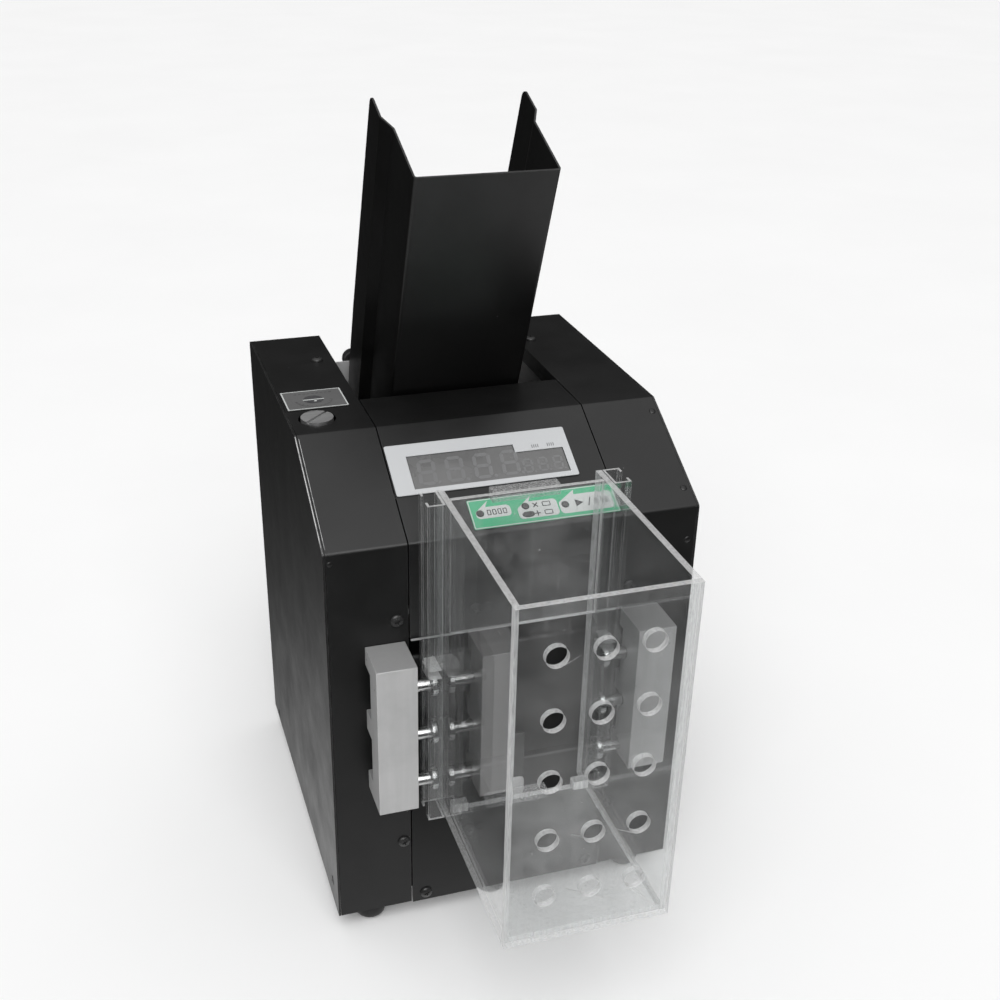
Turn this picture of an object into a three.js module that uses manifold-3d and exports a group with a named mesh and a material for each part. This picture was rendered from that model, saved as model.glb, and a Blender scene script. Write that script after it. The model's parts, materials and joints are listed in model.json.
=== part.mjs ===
// Card counting and dealing machine: a folded-steel cabinet with a leaning card hopper,
// a roller feeder inside, and a clear receiving box that hangs on two mount blocks.
// Millimetres, +Z up, X across, the front faces -Y. z = 0 is the surface the feet stand on.
import * as THREE from "three";
import { mergeVertices } from "three/addons/utils/BufferGeometryUtils.js";
import Module from "manifold-3d";

const wasm = await Module();
wasm.setup();

// ---------------------------------------------------------------- driving dimensions
const ORIGIN_SHIFT_Y = 67.85; // puts the origin under the middle of the whole machine's depth
const GAP = 0.3; // between pieces that touch

const FOOT_H = 16;
const CABINET = { width: 250, depth: 268, height: 336, sheet: 1.5, bend: 3 };
const SLOPE = { run: 80.6, drop: 44.7 }; // the sloped control face
const CENTRE_W = 141.8; // width of the centre covers between the side covers
const SEAM = 0.9; // visible seam between centre and side covers
const RECESS = { bottom: 127, top: 238 }; // heights of the card exit opening
const STRIP_REAR_Y = -2.8; // rear edge of the centre cover, where the hopper well starts
const REAR_PANEL_TOP = 328.3;

const CARD = { width: 88.9, depth: 63.5 }; // one playing card
const HOPPER = {
  lean: THREE.MathUtils.degToRad(21.7), topY: -65.9, topZ: 512.6, inner: CARD.width + 1.4,
  sheet: 1.2, length: 268, frontBand: 52.5, jogEnd: 66, jogOut: 5.2, tipRadius: 7,
  offsetX: -1.5, // the hopper stands a little left of the cabinet's middle
  depth: 92.5, lowDepth: 99, lowFrom: -175, lowTo: -235, footDepth: 95, // wings widen downwards
};
const DECK_B = -270; // card deck surface, measured down the hopper from its top front edge
const FRAME = { inner: 73.6, thick: 3 }; // inner frame plates

const BOX = {
  half: 53.3, wall: 4, front: -279.7, rear: -151.3, bottom: 106.5, top: 342.5, floorZ: 107,
};
const RAIL = { inner: 53.6, outer: 65, front: -155.8, rear: -135.3, wall: 1.6 };
const HOLES = { radius: 6.7, columns: [-28.4, 0, 28.4], topRow: 309, pitch: 42, rows: 5 };
const SCREW = { heights: [134, 172, 210], y: -145.3, headR: 8.2, headT: 4.5, shaftR: 4 };
const BLOCK = { inner: 74.3, outer: 100.6, front: -165.6, rear: -134.3, notch: 6 };

const FEED = { rollR: 22, hubR: 12, pulleyR: 18, a: -4 };
const EXIT = { rollR: 14, hubR: 8, pulleyR: 12, a: -120 };
const IDLER = { rollR: 10, axleR: 3 };
const RETARD = { rollR: 9, a: -16, axleR: 3 };
const MOTOR = { r: 32, y: 20, z: 92, pulleyR: 10, shaftR: 4 };
const BELT = { inner: -93, outer: -87, thick: 1.6, slack: 0.4 };

// ---------------------------------------------------------------- derived places
const HALF_W = CABINET.width / 2;
const FRONT = -CABINET.depth / 2;
const REAR = CABINET.depth / 2;
const TOP = FOOT_H + CABINET.height;
const SLOPE_Z = TOP - SLOPE.drop; // lower edge of the slope
const SLOPE_Y = FRONT + SLOPE.run; // upper edge of the slope
const SLOPE_ANGLE = Math.atan2(SLOPE.drop, SLOPE.run);
const COVER_INNER = CENTRE_W / 2 + SEAM; // inner edge of the side covers
const LEFT = -1;
const RIGHT = 1;

// A point in the leaning hopper frame: a runs rearwards along a card, b up the hopper.
function leaning(a, b) {
  const sin = Math.sin(HOPPER.lean);
  const cos = Math.cos(HOPPER.lean);
  return { y: HOPPER.topY + a * cos - b * sin, z: HOPPER.topZ + a * sin + b * cos };
}

const FEED_AXIS = leaning(FEED.a, DECK_B - FEED.rollR + 1.2);
const EXIT_AXIS = leaning(EXIT.a, DECK_B - EXIT.rollR + 0.8);
const IDLER_AXIS = leaning(EXIT.a, DECK_B + 0.8 + 0.5 + IDLER.rollR);
const RETARD_REACH = FEED.rollR + RETARD.rollR + 0.5;
const RETARD_UP = Math.sqrt(RETARD_REACH ** 2 - (RETARD.a - FEED.a) ** 2);
const RETARD_AXIS = leaning(RETARD.a, DECK_B - FEED.rollR + 1.2 + RETARD_UP);

// ---------------------------------------------------------------- finishes
const finish = (color, roughness, metalness = 0) => ({ color, roughness, metalness });
const BLACK_COAT = finish(0x17181a, 0.45, 0.2);
const GREY_COAT = finish(0xb9bcc0, 0.5, 0.2);
const ZINC = finish(0xa3a7ab, 0.4, 0.8);
const ALUMINIUM = finish(0xc4c7ca, 0.45, 0.8);
const BRIGHT_STEEL = finish(0xd6d9dc, 0.22, 1);
const ACRYLIC = finish(0xe9f0f2, 0.08);
const BLACK_RUBBER = finish(0x101010, 0.8);
const ROLLER_RUBBER = finish(0x8a5a3a, 0.75);
const BEZEL_GREY = finish(0xc9cccf, 0.4);
const WINDOW_GREY = finish(0x6f7376, 0.2);
const LABEL_GREEN = finish(0x3fbf85, 0.35);
const KEY_GREY = finish(0x4c5054, 0.5);
const BOARD_GREEN = finish(0x2b6b48, 0.5);
const BLACK_PLASTIC = finish(0x1c1d1f, 0.55);

// ---------------------------------------------------------------- solids
function toSolid(geometry) {
  const bare = geometry.clone();
  bare.deleteAttribute("normal");
  bare.deleteAttribute("uv");
  const merged = mergeVertices(bare);
  return new wasm.Manifold(new wasm.Mesh({
    numProp: 3,
    vertProperties: merged.attributes.position.array,
    triVerts: new Uint32Array(merged.index.array),
  }));
}

function toGeometry(solid) {
  const mesh = solid.getMesh();
  const geometry = new THREE.BufferGeometry();
  geometry.setAttribute("position", new THREE.BufferAttribute(mesh.vertProperties, 3));
  geometry.setIndex(new THREE.BufferAttribute(mesh.triVerts, 1));
  geometry.computeVertexNormals();
  return geometry;
}

const join = (...pieces) => toGeometry(pieces.map(toSolid).reduce((all, next) => all.add(next)));
const cut = (body, ...tools) =>
  toGeometry(tools.map(toSolid).reduce((rest, tool) => rest.subtract(tool), toSolid(body)));
const common = (one, other) => toGeometry(toSolid(one).intersect(toSolid(other)));

// A box between two corners.
function slab([x0, x1], [y0, y1], [z0, z1]) {
  const box = new THREE.BoxGeometry(x1 - x0, y1 - y0, z1 - z0);
  return box.translate((x0 + x1) / 2, (y0 + y1) / 2, (z0 + z1) / 2);
}

// A round bar along X, Y or Z.
function bar(axis, radius, [from, to], u, v, sides = 24) {
  const rod = new THREE.CylinderGeometry(radius, radius, to - from, sides);
  const middle = (from + to) / 2;
  if (axis === "x") return rod.rotateZ(Math.PI / 2).translate(middle, u, v);
  if (axis === "y") return rod.translate(u, middle, v);
  return rod.rotateX(Math.PI / 2).translate(u, v, middle);
}

// Turned on the X axis: profile points are [x, radius], from axis to axis.
function turnedX(profile, sides = 24) {
  const points = profile.map(([x, radius]) => new THREE.Vector2(radius, x));
  return new THREE.LatheGeometry(points, sides).rotateZ(-Math.PI / 2);
}

// Extrudes an outline of [y, z] points along X.
function extrudeX(outline, [x0, x1], holes = []) {
  const shape = new THREE.Shape(outline.map(([y, z]) => new THREE.Vector2(y, z)));
  shape.holes = holes.map((hole) => new THREE.Path(hole.map(([y, z]) => new THREE.Vector2(y, z))));
  const solid = new THREE.ExtrudeGeometry(shape, { depth: x1 - x0, bevelEnabled: false });
  const turn = new THREE.Matrix4().makeBasis(
    new THREE.Vector3(0, 1, 0), new THREE.Vector3(0, 0, 1), new THREE.Vector3(1, 0, 0));
  return solid.applyMatrix4(turn).translate(x0, 0, 0);
}

// Extrudes an outline of [x, y] points along Z.
function extrudeZ(outline, [z0, z1], holes = []) {
  const shape = new THREE.Shape(outline.map(([x, y]) => new THREE.Vector2(x, y)));
  shape.holes = holes.map((hole) => new THREE.Path(hole.map(([x, y]) => new THREE.Vector2(x, y))));
  const solid = new THREE.ExtrudeGeometry(shape, { depth: z1 - z0, bevelEnabled: false });
  return solid.translate(0, 0, z0);
}

const circle = (u, v, radius, sides = 24) => Array.from({ length: sides }, (_, i) => {
  const turn = (2 * Math.PI * i) / sides;
  return [u + radius * Math.cos(turn), v + radius * Math.sin(turn)];
});

// An outline with its corners rounded: each corner is [u, v, radius].
function rounded(corners, steps = 3) {
  return corners.flatMap(([u, v, radius = 0], i) => {
    if (radius === 0) return [[u, v]];
    const here = new THREE.Vector2(u, v);
    const back = new THREE.Vector2(...corners.at(i - 1).slice(0, 2)).sub(here).normalize();
    const ahead = new THREE.Vector2(...corners[(i + 1) % corners.length].slice(0, 2));
    ahead.sub(here).normalize();
    const half = Math.acos(THREE.MathUtils.clamp(back.dot(ahead), -1, 1)) / 2;
    const centre = back.clone().add(ahead).normalize().multiplyScalar(radius / Math.sin(half));
    centre.add(here);
    const start = here.clone().addScaledVector(back, radius / Math.tan(half)).sub(centre);
    const turn = (Math.PI - 2 * half) * Math.sign(ahead.cross(back));
    return Array.from({ length: steps + 1 }, (_, k) => {
      const spoke = start.clone().rotateAround(new THREE.Vector2(), (turn * k) / steps);
      return [centre.x + spoke.x, centre.y + spoke.y];
    });
  });
}

// The outline of a bent sheet from its outer face's path, [u, v] points; the sheet lies to the
// right of the path's direction, and bends have the given outer radius.
function sheetOutline(path, thickness, bend) {
  const last = path.length - 1;
  const normals = path.slice(1).map(([u, v], i) => {
    const along = new THREE.Vector2(u - path[i][0], v - path[i][1]).normalize();
    return new THREE.Vector2(along.y, -along.x);
  });
  const inner = path.map(([u, v], i) => {
    const one = normals[Math.max(i - 1, 0)];
    const two = normals[Math.min(i, last - 1)];
    const mitre = one.clone().add(two).multiplyScalar(1 / (1 + one.dot(two)));
    return [u + mitre.x * thickness, v + mitre.y * thickness];
  });
  const atBend = (i, left) => {
    if (i === 0 || i === last) return 0;
    const turnsRight = normals[i - 1].cross(normals[i]) < 0;
    return turnsRight === left ? bend : Math.max(bend - thickness, 0);
  };
  const outside = path.map(([u, v], i) => [u, v, atBend(i, true)]);
  const inside = inner.map(([u, v], i) => [u, v, atBend(i, false)]).reverse();
  return rounded([...outside, ...inside]);
}

// The outline round several pulleys [y, z, radius]: the convex hull of their rims.
function aroundPulleys(pulleys, extra) {
  const rim = pulleys.flatMap(([y, z, radius]) => circle(y, z, radius + extra, 32));
  rim.sort((p, q) => p[0] - q[0] || p[1] - q[1]);
  const turn = (o, p, q) => (p[0] - o[0]) * (q[1] - o[1]) - (p[1] - o[1]) * (q[0] - o[0]);
  const half = (points) => points.reduce((chain, point) => {
    while (chain.length > 1 && turn(chain.at(-2), chain.at(-1), point) <= 0) chain.pop();
    return [...chain, point];
  }, []).slice(0, -1);
  return [...half(rim), ...half(rim.slice().reverse())];
}

// ---------------------------------------------------------------- scene helpers
const machine = new THREE.Group();
const slopeFrame = new THREE.Group(); // x across, y up the slope, z out of it
slopeFrame.position.set(0, FRONT, SLOPE_Z);
slopeFrame.rotation.x = SLOPE_ANGLE;
const hopperFrame = new THREE.Group(); // x across, y rearwards along a card, z up the hopper
hopperFrame.position.set(0, HOPPER.topY, HOPPER.topZ);
hopperFrame.rotation.x = HOPPER.lean;
machine.add(slopeFrame, hopperFrame);

function place(name, geometry, look, parent = machine) {
  const mesh = new THREE.Mesh(geometry, new THREE.MeshStandardMaterial(look));
  mesh.name = name;
  parent.add(mesh);
}

const sideName = (side) => (side === LEFT ? "left" : "right");
// A stretch of X from near the middle to further out, on either side of the machine.
const span = (side, near, far) => (side === LEFT ? [-far, -near] : [near, far]);

// Moves a solid built in the slope's frame into the machine's.
function fromSlope(geometry) {
  return geometry.rotateX(SLOPE_ANGLE).translate(0, FRONT, SLOPE_Z);
}

// ---------------------------------------------------------------- cabinet
const SIDE_PROFILE = [
  [FRONT, FOOT_H], [FRONT, SLOPE_Z], [SLOPE_Y, TOP], [REAR, TOP], [REAR, FOOT_H],
];
const FLANGE = 12; // depth of the side covers' inner flanges
const DIAL = {
  x: -105.2, y: -29.3, headR: 10.8, sunk: 2, proud: 1.3, holeGap: 1.7, shaftR: 4, tipZ: 270,
  slot: 1.9, slotDepth: 1.4, slotTurn: THREE.MathUtils.degToRad(45),
  plateX: [-121.6, -80], plateY: [-13.4, 19.2], plateThick: 0.5,
};

function sideCovers() {
  for (const side of [LEFT, RIGHT]) {
    const skin = span(side, COVER_INNER, HALF_W - CABINET.sheet - GAP);
    const lip = span(side, COVER_INNER, COVER_INNER + CABINET.sheet);
    let cover = join(
      extrudeX(sheetOutline(SIDE_PROFILE, CABINET.sheet, CABINET.bend), skin),
      extrudeX(sheetOutline(SIDE_PROFILE, FLANGE, CABINET.bend), lip),
    );
    if (side === LEFT) {
      const hole = bar("z", DIAL.headR + DIAL.holeGap, [TOP - 5, TOP + 5], DIAL.x, DIAL.y, 36);
      cover = cut(cover, hole);
    }
    place(`${sideName(side)}_side_cover`, cover, BLACK_COAT);
  }
}

function sidePanels() {
  const bends = [0, CABINET.bend, CABINET.bend, CABINET.bend, 0];
  const outline = rounded(SIDE_PROFILE.map(([y, z], i) => [y, z, bends[i]]));
  for (const side of [LEFT, RIGHT]) {
    const plate = extrudeX(outline, span(side, HALF_W - CABINET.sheet, HALF_W));
    place(`${sideName(side)}_side_panel`, plate, BLACK_COAT);
  }
}

function basePlate() {
  const half = HALF_W - CABINET.sheet - 2;
  const thick = 2;
  const low = FOOT_H + 0.2;
  const depth = [FRONT + FLANGE + 0.5, REAR - FLANGE - 0.5];
  const tray = join(
    slab([-half, half], depth, [low, low + thick]),
    slab([-half, -half + thick], depth, [low, low + 12]),
    slab([half - thick, half], depth, [low, low + 12]),
  );
  place("base_plate", tray, ZINC);
}

// Display and key places on the slope: x across, y up from the slope's lower edge.
const DISPLAY = {
  bezel: { x: [-70.4, 52.1], y: [35.3, 74.9] },
  window: { x: [-57.5, 47], y: [39.3, 64.8], stepX: 14.1, stepY: 58.3 },
};
const LABEL = { x: [-27.6, 70.4], y: [3.5, 25.7], low: 0.3, high: 0.7 };
const KEYS = [
  { name: "batch_button", x: -21.2, y: 15, radius: 2.2, stretch: 0 },
  { name: "clear_button", x: 9.2, y: 16.3, radius: 2.2, stretch: 0 },
  { name: "add_button", x: 9.7, y: 9.9, radius: 1.8, stretch: 2 },
  { name: "start_button", x: 35.5, y: 13.8, radius: 2.2, stretch: 0 },
];
const KEY_HOLE_GAP = 0.4;

// A round or sideways-stretched key outline.
function keyOutline({ x, y, radius, stretch }, extra) {
  return circle(0, 0, radius + extra, 16).map(([u, v]) => [x + u + Math.sign(u) * stretch, y + v]);
}

function keyHoles(low, high) {
  return KEYS.map((key) => extrudeZ(keyOutline(key, KEY_HOLE_GAP), [low, high]));
}

function frontCentreCover() {
  const path = [
    [FRONT + 10, RECESS.top], [FRONT, RECESS.top], [FRONT, SLOPE_Z], [SLOPE_Y, TOP],
    [STRIP_REAR_Y, TOP], [STRIP_REAR_Y, TOP - FLANGE],
  ];
  const half = CENTRE_W / 2;
  const skin = extrudeX(sheetOutline(path, CABINET.sheet, 2.5), [-half, half]);
  const { x, y } = DISPLAY.window;
  const opening = fromSlope(slab([x[0] - 1.5, x[1] + 1.5], [y[0] - 1.5, y[1] + 1.5], [-4, 3]));
  const cover = cut(skin, opening, ...keyHoles(-4, 3).map(fromSlope));
  place("front_centre_cover", cover, BLACK_COAT);
}

function lowerFrontPlate() {
  const path = [[FRONT, FOOT_H - 1], [FRONT, RECESS.bottom], [FRONT + 12, RECESS.bottom]];
  const half = CENTRE_W / 2;
  const plate = extrudeX(sheetOutline(path, CABINET.sheet, 2.5), [-half, half]);
  place("lower_front_plate", plate, BLACK_COAT);
}

const INLET = { x: -34, z: 62, halfW: 13.5, halfH: 10, cavityDepth: 15 };
const SWITCH = { x: 24, z: 62, halfW: 9, halfH: 12.5 };
const KNOB = { apart: 43.5, z: 328, r: 7.5, studR: 2.5, thick: 9.7 };
const knobX = (side) => HOPPER.offsetX + side * KNOB.apart;

function rearPanel() {
  const half = CENTRE_W / 2;
  const path = [[-half, REAR - 8], [-half, REAR], [half, REAR], [half, REAR - 8]];
  const tray = extrudeZ(sheetOutline(path, CABINET.sheet, 2.5), [FOOT_H + 3, REAR_PANEL_TOP]);
  const through = [REAR - 4, REAR + 4];
  const holeFor = ({ x, z, halfW, halfH }) =>
    slab([x - halfW - 0.4, x + halfW + 0.4], through, [z - halfH - 0.4, z + halfH + 0.4]);
  const notches = [LEFT, RIGHT].map((side) => {
    const x = knobX(side);
    return slab([x - KNOB.studR - 0.6, x + KNOB.studR + 0.6], through, [KNOB.z - 3.5, TOP]);
  });
  place("rear_panel", cut(tray, holeFor(INLET), holeFor(SWITCH), ...notches), GREY_COAT);
}

const FOOT = { r: 11.3, x: 99, y: 118 };

function feet() {
  const profile = rounded([[0, 0], [FOOT.r, 0, 6], [FOOT.r, FOOT_H, 3], [0, FOOT_H]], 3);
  const points = profile.map(([r, z]) => new THREE.Vector2(r, z));
  for (const side of [LEFT, RIGHT]) {
    for (const [end, y] of [["front", -FOOT.y], ["rear", FOOT.y]]) {
      const dome = new THREE.LatheGeometry(points, 20).rotateX(Math.PI / 2);
      place(`${end}_${sideName(side)}_foot`, dome.translate(side * FOOT.x, y, 0), BLACK_RUBBER);
    }
  }
}

// ---------------------------------------------------------------- inner frame and card path
const LEVER = { x: [-112, 19], y: [-37.4, -21.4], z: [290, 294], hangerNear: 16, hangerFar: 19 };

function framePlates() {
  const outline = [
    [FRONT + 3, FOOT_H + 2.6], [FRONT + 3, SLOPE_Z - 1.6], [SLOPE_Y + 0.8, TOP - 3],
    [REAR - 3, TOP - 3], [REAR - 3, FOOT_H + 2.6],
  ];
  const shaftHoles = [
    circle(FEED_AXIS.y, FEED_AXIS.z, 4.5, 24),
    circle(EXIT_AXIS.y, EXIT_AXIS.z, 4.5, 24),
    circle(IDLER_AXIS.y, IDLER_AXIS.z, IDLER.axleR + 0.5, 24),
  ];
  const [y0, y1] = LEVER.y;
  const [z0, z1] = LEVER.z;
  const leverSlot = [[y0 - 3, z0 - 3], [y1 + 3, z0 - 3], [y1 + 3, z1 + 4], [y0 - 3, z1 + 4]];
  const motorHole = circle(MOTOR.y, MOTOR.z, MOTOR.shaftR + 0.6, 24);
  for (const side of [LEFT, RIGHT]) {
    const holes = side === LEFT ? [...shaftHoles, leverSlot, motorHole] : shaftHoles;
    const plate = extrudeX(outline, span(side, FRAME.inner, FRAME.inner + FRAME.thick), holes);
    place(`${sideName(side)}_frame_plate`, plate, ZINC);
  }
}

// One sheet: the leaning card deck under the hopper, bent down at the front into the exit guide.
const DECK = { front: -150, rear: 94, half: 71.2, thick: 2, lipDepth: 7 };
const SENSOR = { a: -143, halfW: 8, halfD: 3.5, lensR: 1.8 };

function cardDeck() {
  const at = (a, b) => Object.values(leaning(a, b));
  const path = [[-130.5, 129.5], [-118, 168], at(DECK.front, DECK_B), at(DECK.rear, DECK_B)];
  const sheet = extrudeX(sheetOutline(path, DECK.thick, 5), [-DECK.half, DECK.half]);
  const under = DECK_B - DECK.thick;
  const lips = [LEFT, RIGHT].map((side) => fromHopper(slab(
    span(side, DECK.half - 1.5, DECK.half), [DECK.front + 10, DECK.rear],
    [under - DECK.lipDepth + DECK.thick, under + 0.5])));
  const rollerSlot = (ahead, behind) =>
    fromHopper(slab([-25, 25], [ahead, behind], [under - 2, DECK_B + 2]));
  const eye = fromHopper(bar("z", SENSOR.lensR + 0.5, [under - 2, DECK_B + 2], 0, SENSOR.a, 20));
  const deck = cut(join(sheet, ...lips), rollerSlot(RETARD.a - 9, FEED.a + 13),
    rollerSlot(EXIT.a - 10, EXIT.a + 10), eye);
  place("card_deck", deck, ZINC);
}

function fromHopper(geometry) {
  return geometry.rotateX(HOPPER.lean).translate(0, HOPPER.topY, HOPPER.topZ);
}

function cardSensor() {
  const top = DECK_B - DECK.thick - GAP;
  const { a, halfW, halfD, lensR } = SENSOR;
  const body = slab([-halfW, halfW], [a - halfD, a + halfD], [top - 9, top]);
  const lens = bar("z", lensR, [top - 1, DECK_B - 0.4], 0, a, 20);
  place("card_sensor", join(body, lens), BLACK_PLASTIC, hopperFrame);
}

// ---------------------------------------------------------------- hopper
function hopperChannel() {
  const near = HOPPER.inner / 2 + HOPPER.sheet;
  const far = near + HOPPER.jogOut;
  const { frontBand, jogEnd, depth, lowDepth, lowFrom, lowTo, footDepth, length, tipRadius } = HOPPER;
  const half = [[far, lowDepth + 5], [far, jogEnd], [near, frontBand], [near, 0]];
  const path = [...half, ...half.slice().reverse().map(([x, a]) => [-x, a])];
  const channel = extrudeZ(sheetOutline(path, HOPPER.sheet, 2.2), [-length, 5]);
  const side = rounded([
    [-5, -length - 5], [-5, 0], [depth, 0, tipRadius], [lowDepth, lowFrom, 20],
    [lowDepth, lowTo, 4], [footDepth, -length - 5],
  ], 6);
  const trimmed = common(channel, extrudeX(side, [-60, 60])).translate(HOPPER.offsetX, 0, 0);
  place("hopper_channel", trimmed, BLACK_COAT, hopperFrame);
}

const BRACKET = {
  half: 47, y: [130.2, 132.2], z: [298, 334], cheek: 1.5,
  spacer: { r: 3, y: 106, z: 312, reach: 50.05 }, // bosses between the cheeks and the wings
};

function hopperBracket() {
  const [y0, y1] = BRACKET.y;
  const [z0, z1] = BRACKET.z;
  const flange = slab([-BRACKET.half, BRACKET.half], BRACKET.y, BRACKET.z);
  const side = rounded([[y1, z0], [y1, z1], [y0 - 10, z1, 4], [98, 322, 6], [98, 307, 6],
    [113, z0, 6]]);
  const cheeks = [LEFT, RIGHT].map((end) =>
    extrudeX(side, span(end, BRACKET.half - BRACKET.cheek, BRACKET.half)));
  const studs = [LEFT, RIGHT].map((end) =>
    bar("y", KNOB.studR, [y0 + 1, REAR + KNOB.thick - 2], end * KNOB.apart, KNOB.z, 20));
  const { r, y, z, reach } = BRACKET.spacer;
  const spacers = [LEFT, RIGHT].map((end) => bar("x", r, span(end, BRACKET.half - 1, reach), y, z));
  const bracket = join(flange, ...cheeks, ...studs, ...spacers).translate(HOPPER.offsetX, 0, 0);
  place("hopper_bracket", bracket, BLACK_COAT);
}

function hopperKnobs() {
  const low = REAR + GAP;
  const high = low + KNOB.thick;
  for (const side of [LEFT, RIGHT]) {
    const disc = bar("y", KNOB.r, [low, high], knobX(side), KNOB.z, 28);
    const bore = bar("y", KNOB.studR + 0.4, [low - 1, high + 1], knobX(side), KNOB.z, 20);
    place(`hopper_knob_${sideName(side)}`, cut(disc, bore), BLACK_PLASTIC);
  }
}

// ---------------------------------------------------------------- display, keys and dial
function windowOutline(extra) {
  const { x, y, stepX, stepY } = DISPLAY.window;
  return [
    [x[0] - extra, y[0] - extra], [x[1] + extra, y[0] - extra], [x[1] + extra, stepY + extra],
    [stepX + extra, stepY + extra], [stepX + extra, y[1] + extra], [x[0] - extra, y[1] + extra],
  ];
}

function display() {
  const { x, y } = DISPLAY.bezel;
  const corners = [[x[0], y[0], 1.2], [x[1], y[0], 1.2], [x[1], y[1], 1.2], [x[0], y[1], 1.2]];
  const bezel = extrudeZ(rounded(corners), [GAP, 1.1], [windowOutline(GAP)]);
  place("display_bezel", bezel, BEZEL_GREY, slopeFrame);
  place("display_window", extrudeZ(windowOutline(0), [-1.2, 0.5]), WINDOW_GREY, slopeFrame);
  const board = join(
    slab([-64, 54], [32, 72], [-11, -9.4]),
    slab([-56.5, 13], [40.3, 63.8], [-9.5, -2.2]),
    slab([15, 46], [40.3, 57.3], [-9.5, -2.2]),
  );
  place("display_board", board, BOARD_GREEN, slopeFrame);
}

function keypad() {
  const { x, y, low, high } = LABEL;
  const corners = [[x[0], y[0], 0.8], [x[1], y[0], 0.8], [x[1], y[1], 0.8], [x[0], y[1], 0.8]];
  const holes = KEYS.map((key) => keyOutline(key, KEY_HOLE_GAP));
  place("keypad_label", extrudeZ(rounded(corners), [low, high], holes), LABEL_GREEN, slopeFrame);
  for (const key of KEYS) {
    const stem = extrudeZ(keyOutline(key, 0), [-8, 1.4]);
    const stop = extrudeZ(keyOutline(key, 0.8), [-5.5, -3.5]);
    place(key.name, join(stem, stop), KEY_GREY, slopeFrame);
  }
}

function dial() {
  const plate = slab(DIAL.plateX, DIAL.plateY, [TOP + GAP, TOP + GAP + DIAL.plateThick]);
  place("dial_plate", plate, ALUMINIUM);
  const headTop = TOP + DIAL.proud;
  const head = bar("z", DIAL.headR, [TOP - DIAL.sunk, headTop], DIAL.x, DIAL.y, 36);
  const shaft = bar("z", DIAL.shaftR, [DIAL.tipZ, TOP - 1], DIAL.x, DIAL.y, 24);
  const slot = slab([-20, 20], [-DIAL.slot / 2, DIAL.slot / 2],
    [headTop - DIAL.slotDepth, headTop + 1]);
  slot.rotateZ(DIAL.slotTurn).translate(DIAL.x, DIAL.y, 0);
  place("gap_screw", cut(join(head, shaft), slot), BRIGHT_STEEL);
}

// ---------------------------------------------------------------- feeder
function gapLever() {
  const [y0, y1] = LEVER.y;
  const [z0, z1] = LEVER.z;
  const side = [[y0, z1], [y1, z1], [22, 272], [24, 262], [14, 254], [6, 256], [y0, z0 - 4]];
  const eye = circle(RETARD_AXIS.y, RETARD_AXIS.z, RETARD.axleR + 0.4, 20);
  const hangers = [LEFT, RIGHT].map((end) =>
    extrudeX(side, span(end, LEVER.hangerNear, LEVER.hangerFar), [eye]));
  const arm = slab(LEVER.x, LEVER.y, LEVER.z);
  const screwHole = bar("z", DIAL.shaftR + 0.6, [z0 - 2, z1 + 2], DIAL.x, DIAL.y, 24);
  place("gap_lever", cut(join(arm, ...hangers), screwHole), ZINC);
  const roller = turnedX([
    [-21, 0], [-21, RETARD.axleR], [-14, RETARD.axleR], [-14, RETARD.rollR],
    [14, RETARD.rollR], [14, RETARD.axleR], [21, RETARD.axleR], [21, 0],
  ]);
  place("retard_roller", roller.translate(0, RETARD_AXIS.y, RETARD_AXIS.z), ROLLER_RUBBER);
}

// A driven shaft with a wide hub inside and a belt pulley on its left end.
function drivenShaft(name, { hubR, pulleyR }, axis) {
  const shaft = turnedX([
    [-98, 0], [-98, 4], [-94, 4], [-94, pulleyR], [-86, pulleyR], [-86, 4], [-24, 4],
    [-24, hubR], [24, hubR], [24, 4], [80, 4], [80, 0],
  ]);
  place(name, shaft.translate(0, axis.y, axis.z), BRIGHT_STEEL);
}

function rubberSleeve(name, { hubR, rollR }, axis) {
  const ring = [[-23.5, hubR + GAP], [-23.5, rollR], [23.5, rollR], [23.5, hubR + GAP]];
  const sleeve = turnedX([...ring, ring[0]], 32);
  place(name, sleeve.translate(0, axis.y, axis.z), ROLLER_RUBBER);
}

function feeder() {
  drivenShaft("feed_shaft", FEED, FEED_AXIS);
  rubberSleeve("feed_roller", FEED, FEED_AXIS);
  drivenShaft("exit_shaft", EXIT, EXIT_AXIS);
  rubberSleeve("exit_roller", EXIT, EXIT_AXIS);
  const idler = turnedX([
    [-79, 0], [-79, IDLER.axleR], [-22, IDLER.axleR], [-22, IDLER.rollR],
    [22, IDLER.rollR], [22, IDLER.axleR], [79, IDLER.axleR], [79, 0],
  ]);
  place("exit_idler", idler.translate(0, IDLER_AXIS.y, IDLER_AXIS.z), ALUMINIUM);
}

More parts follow.
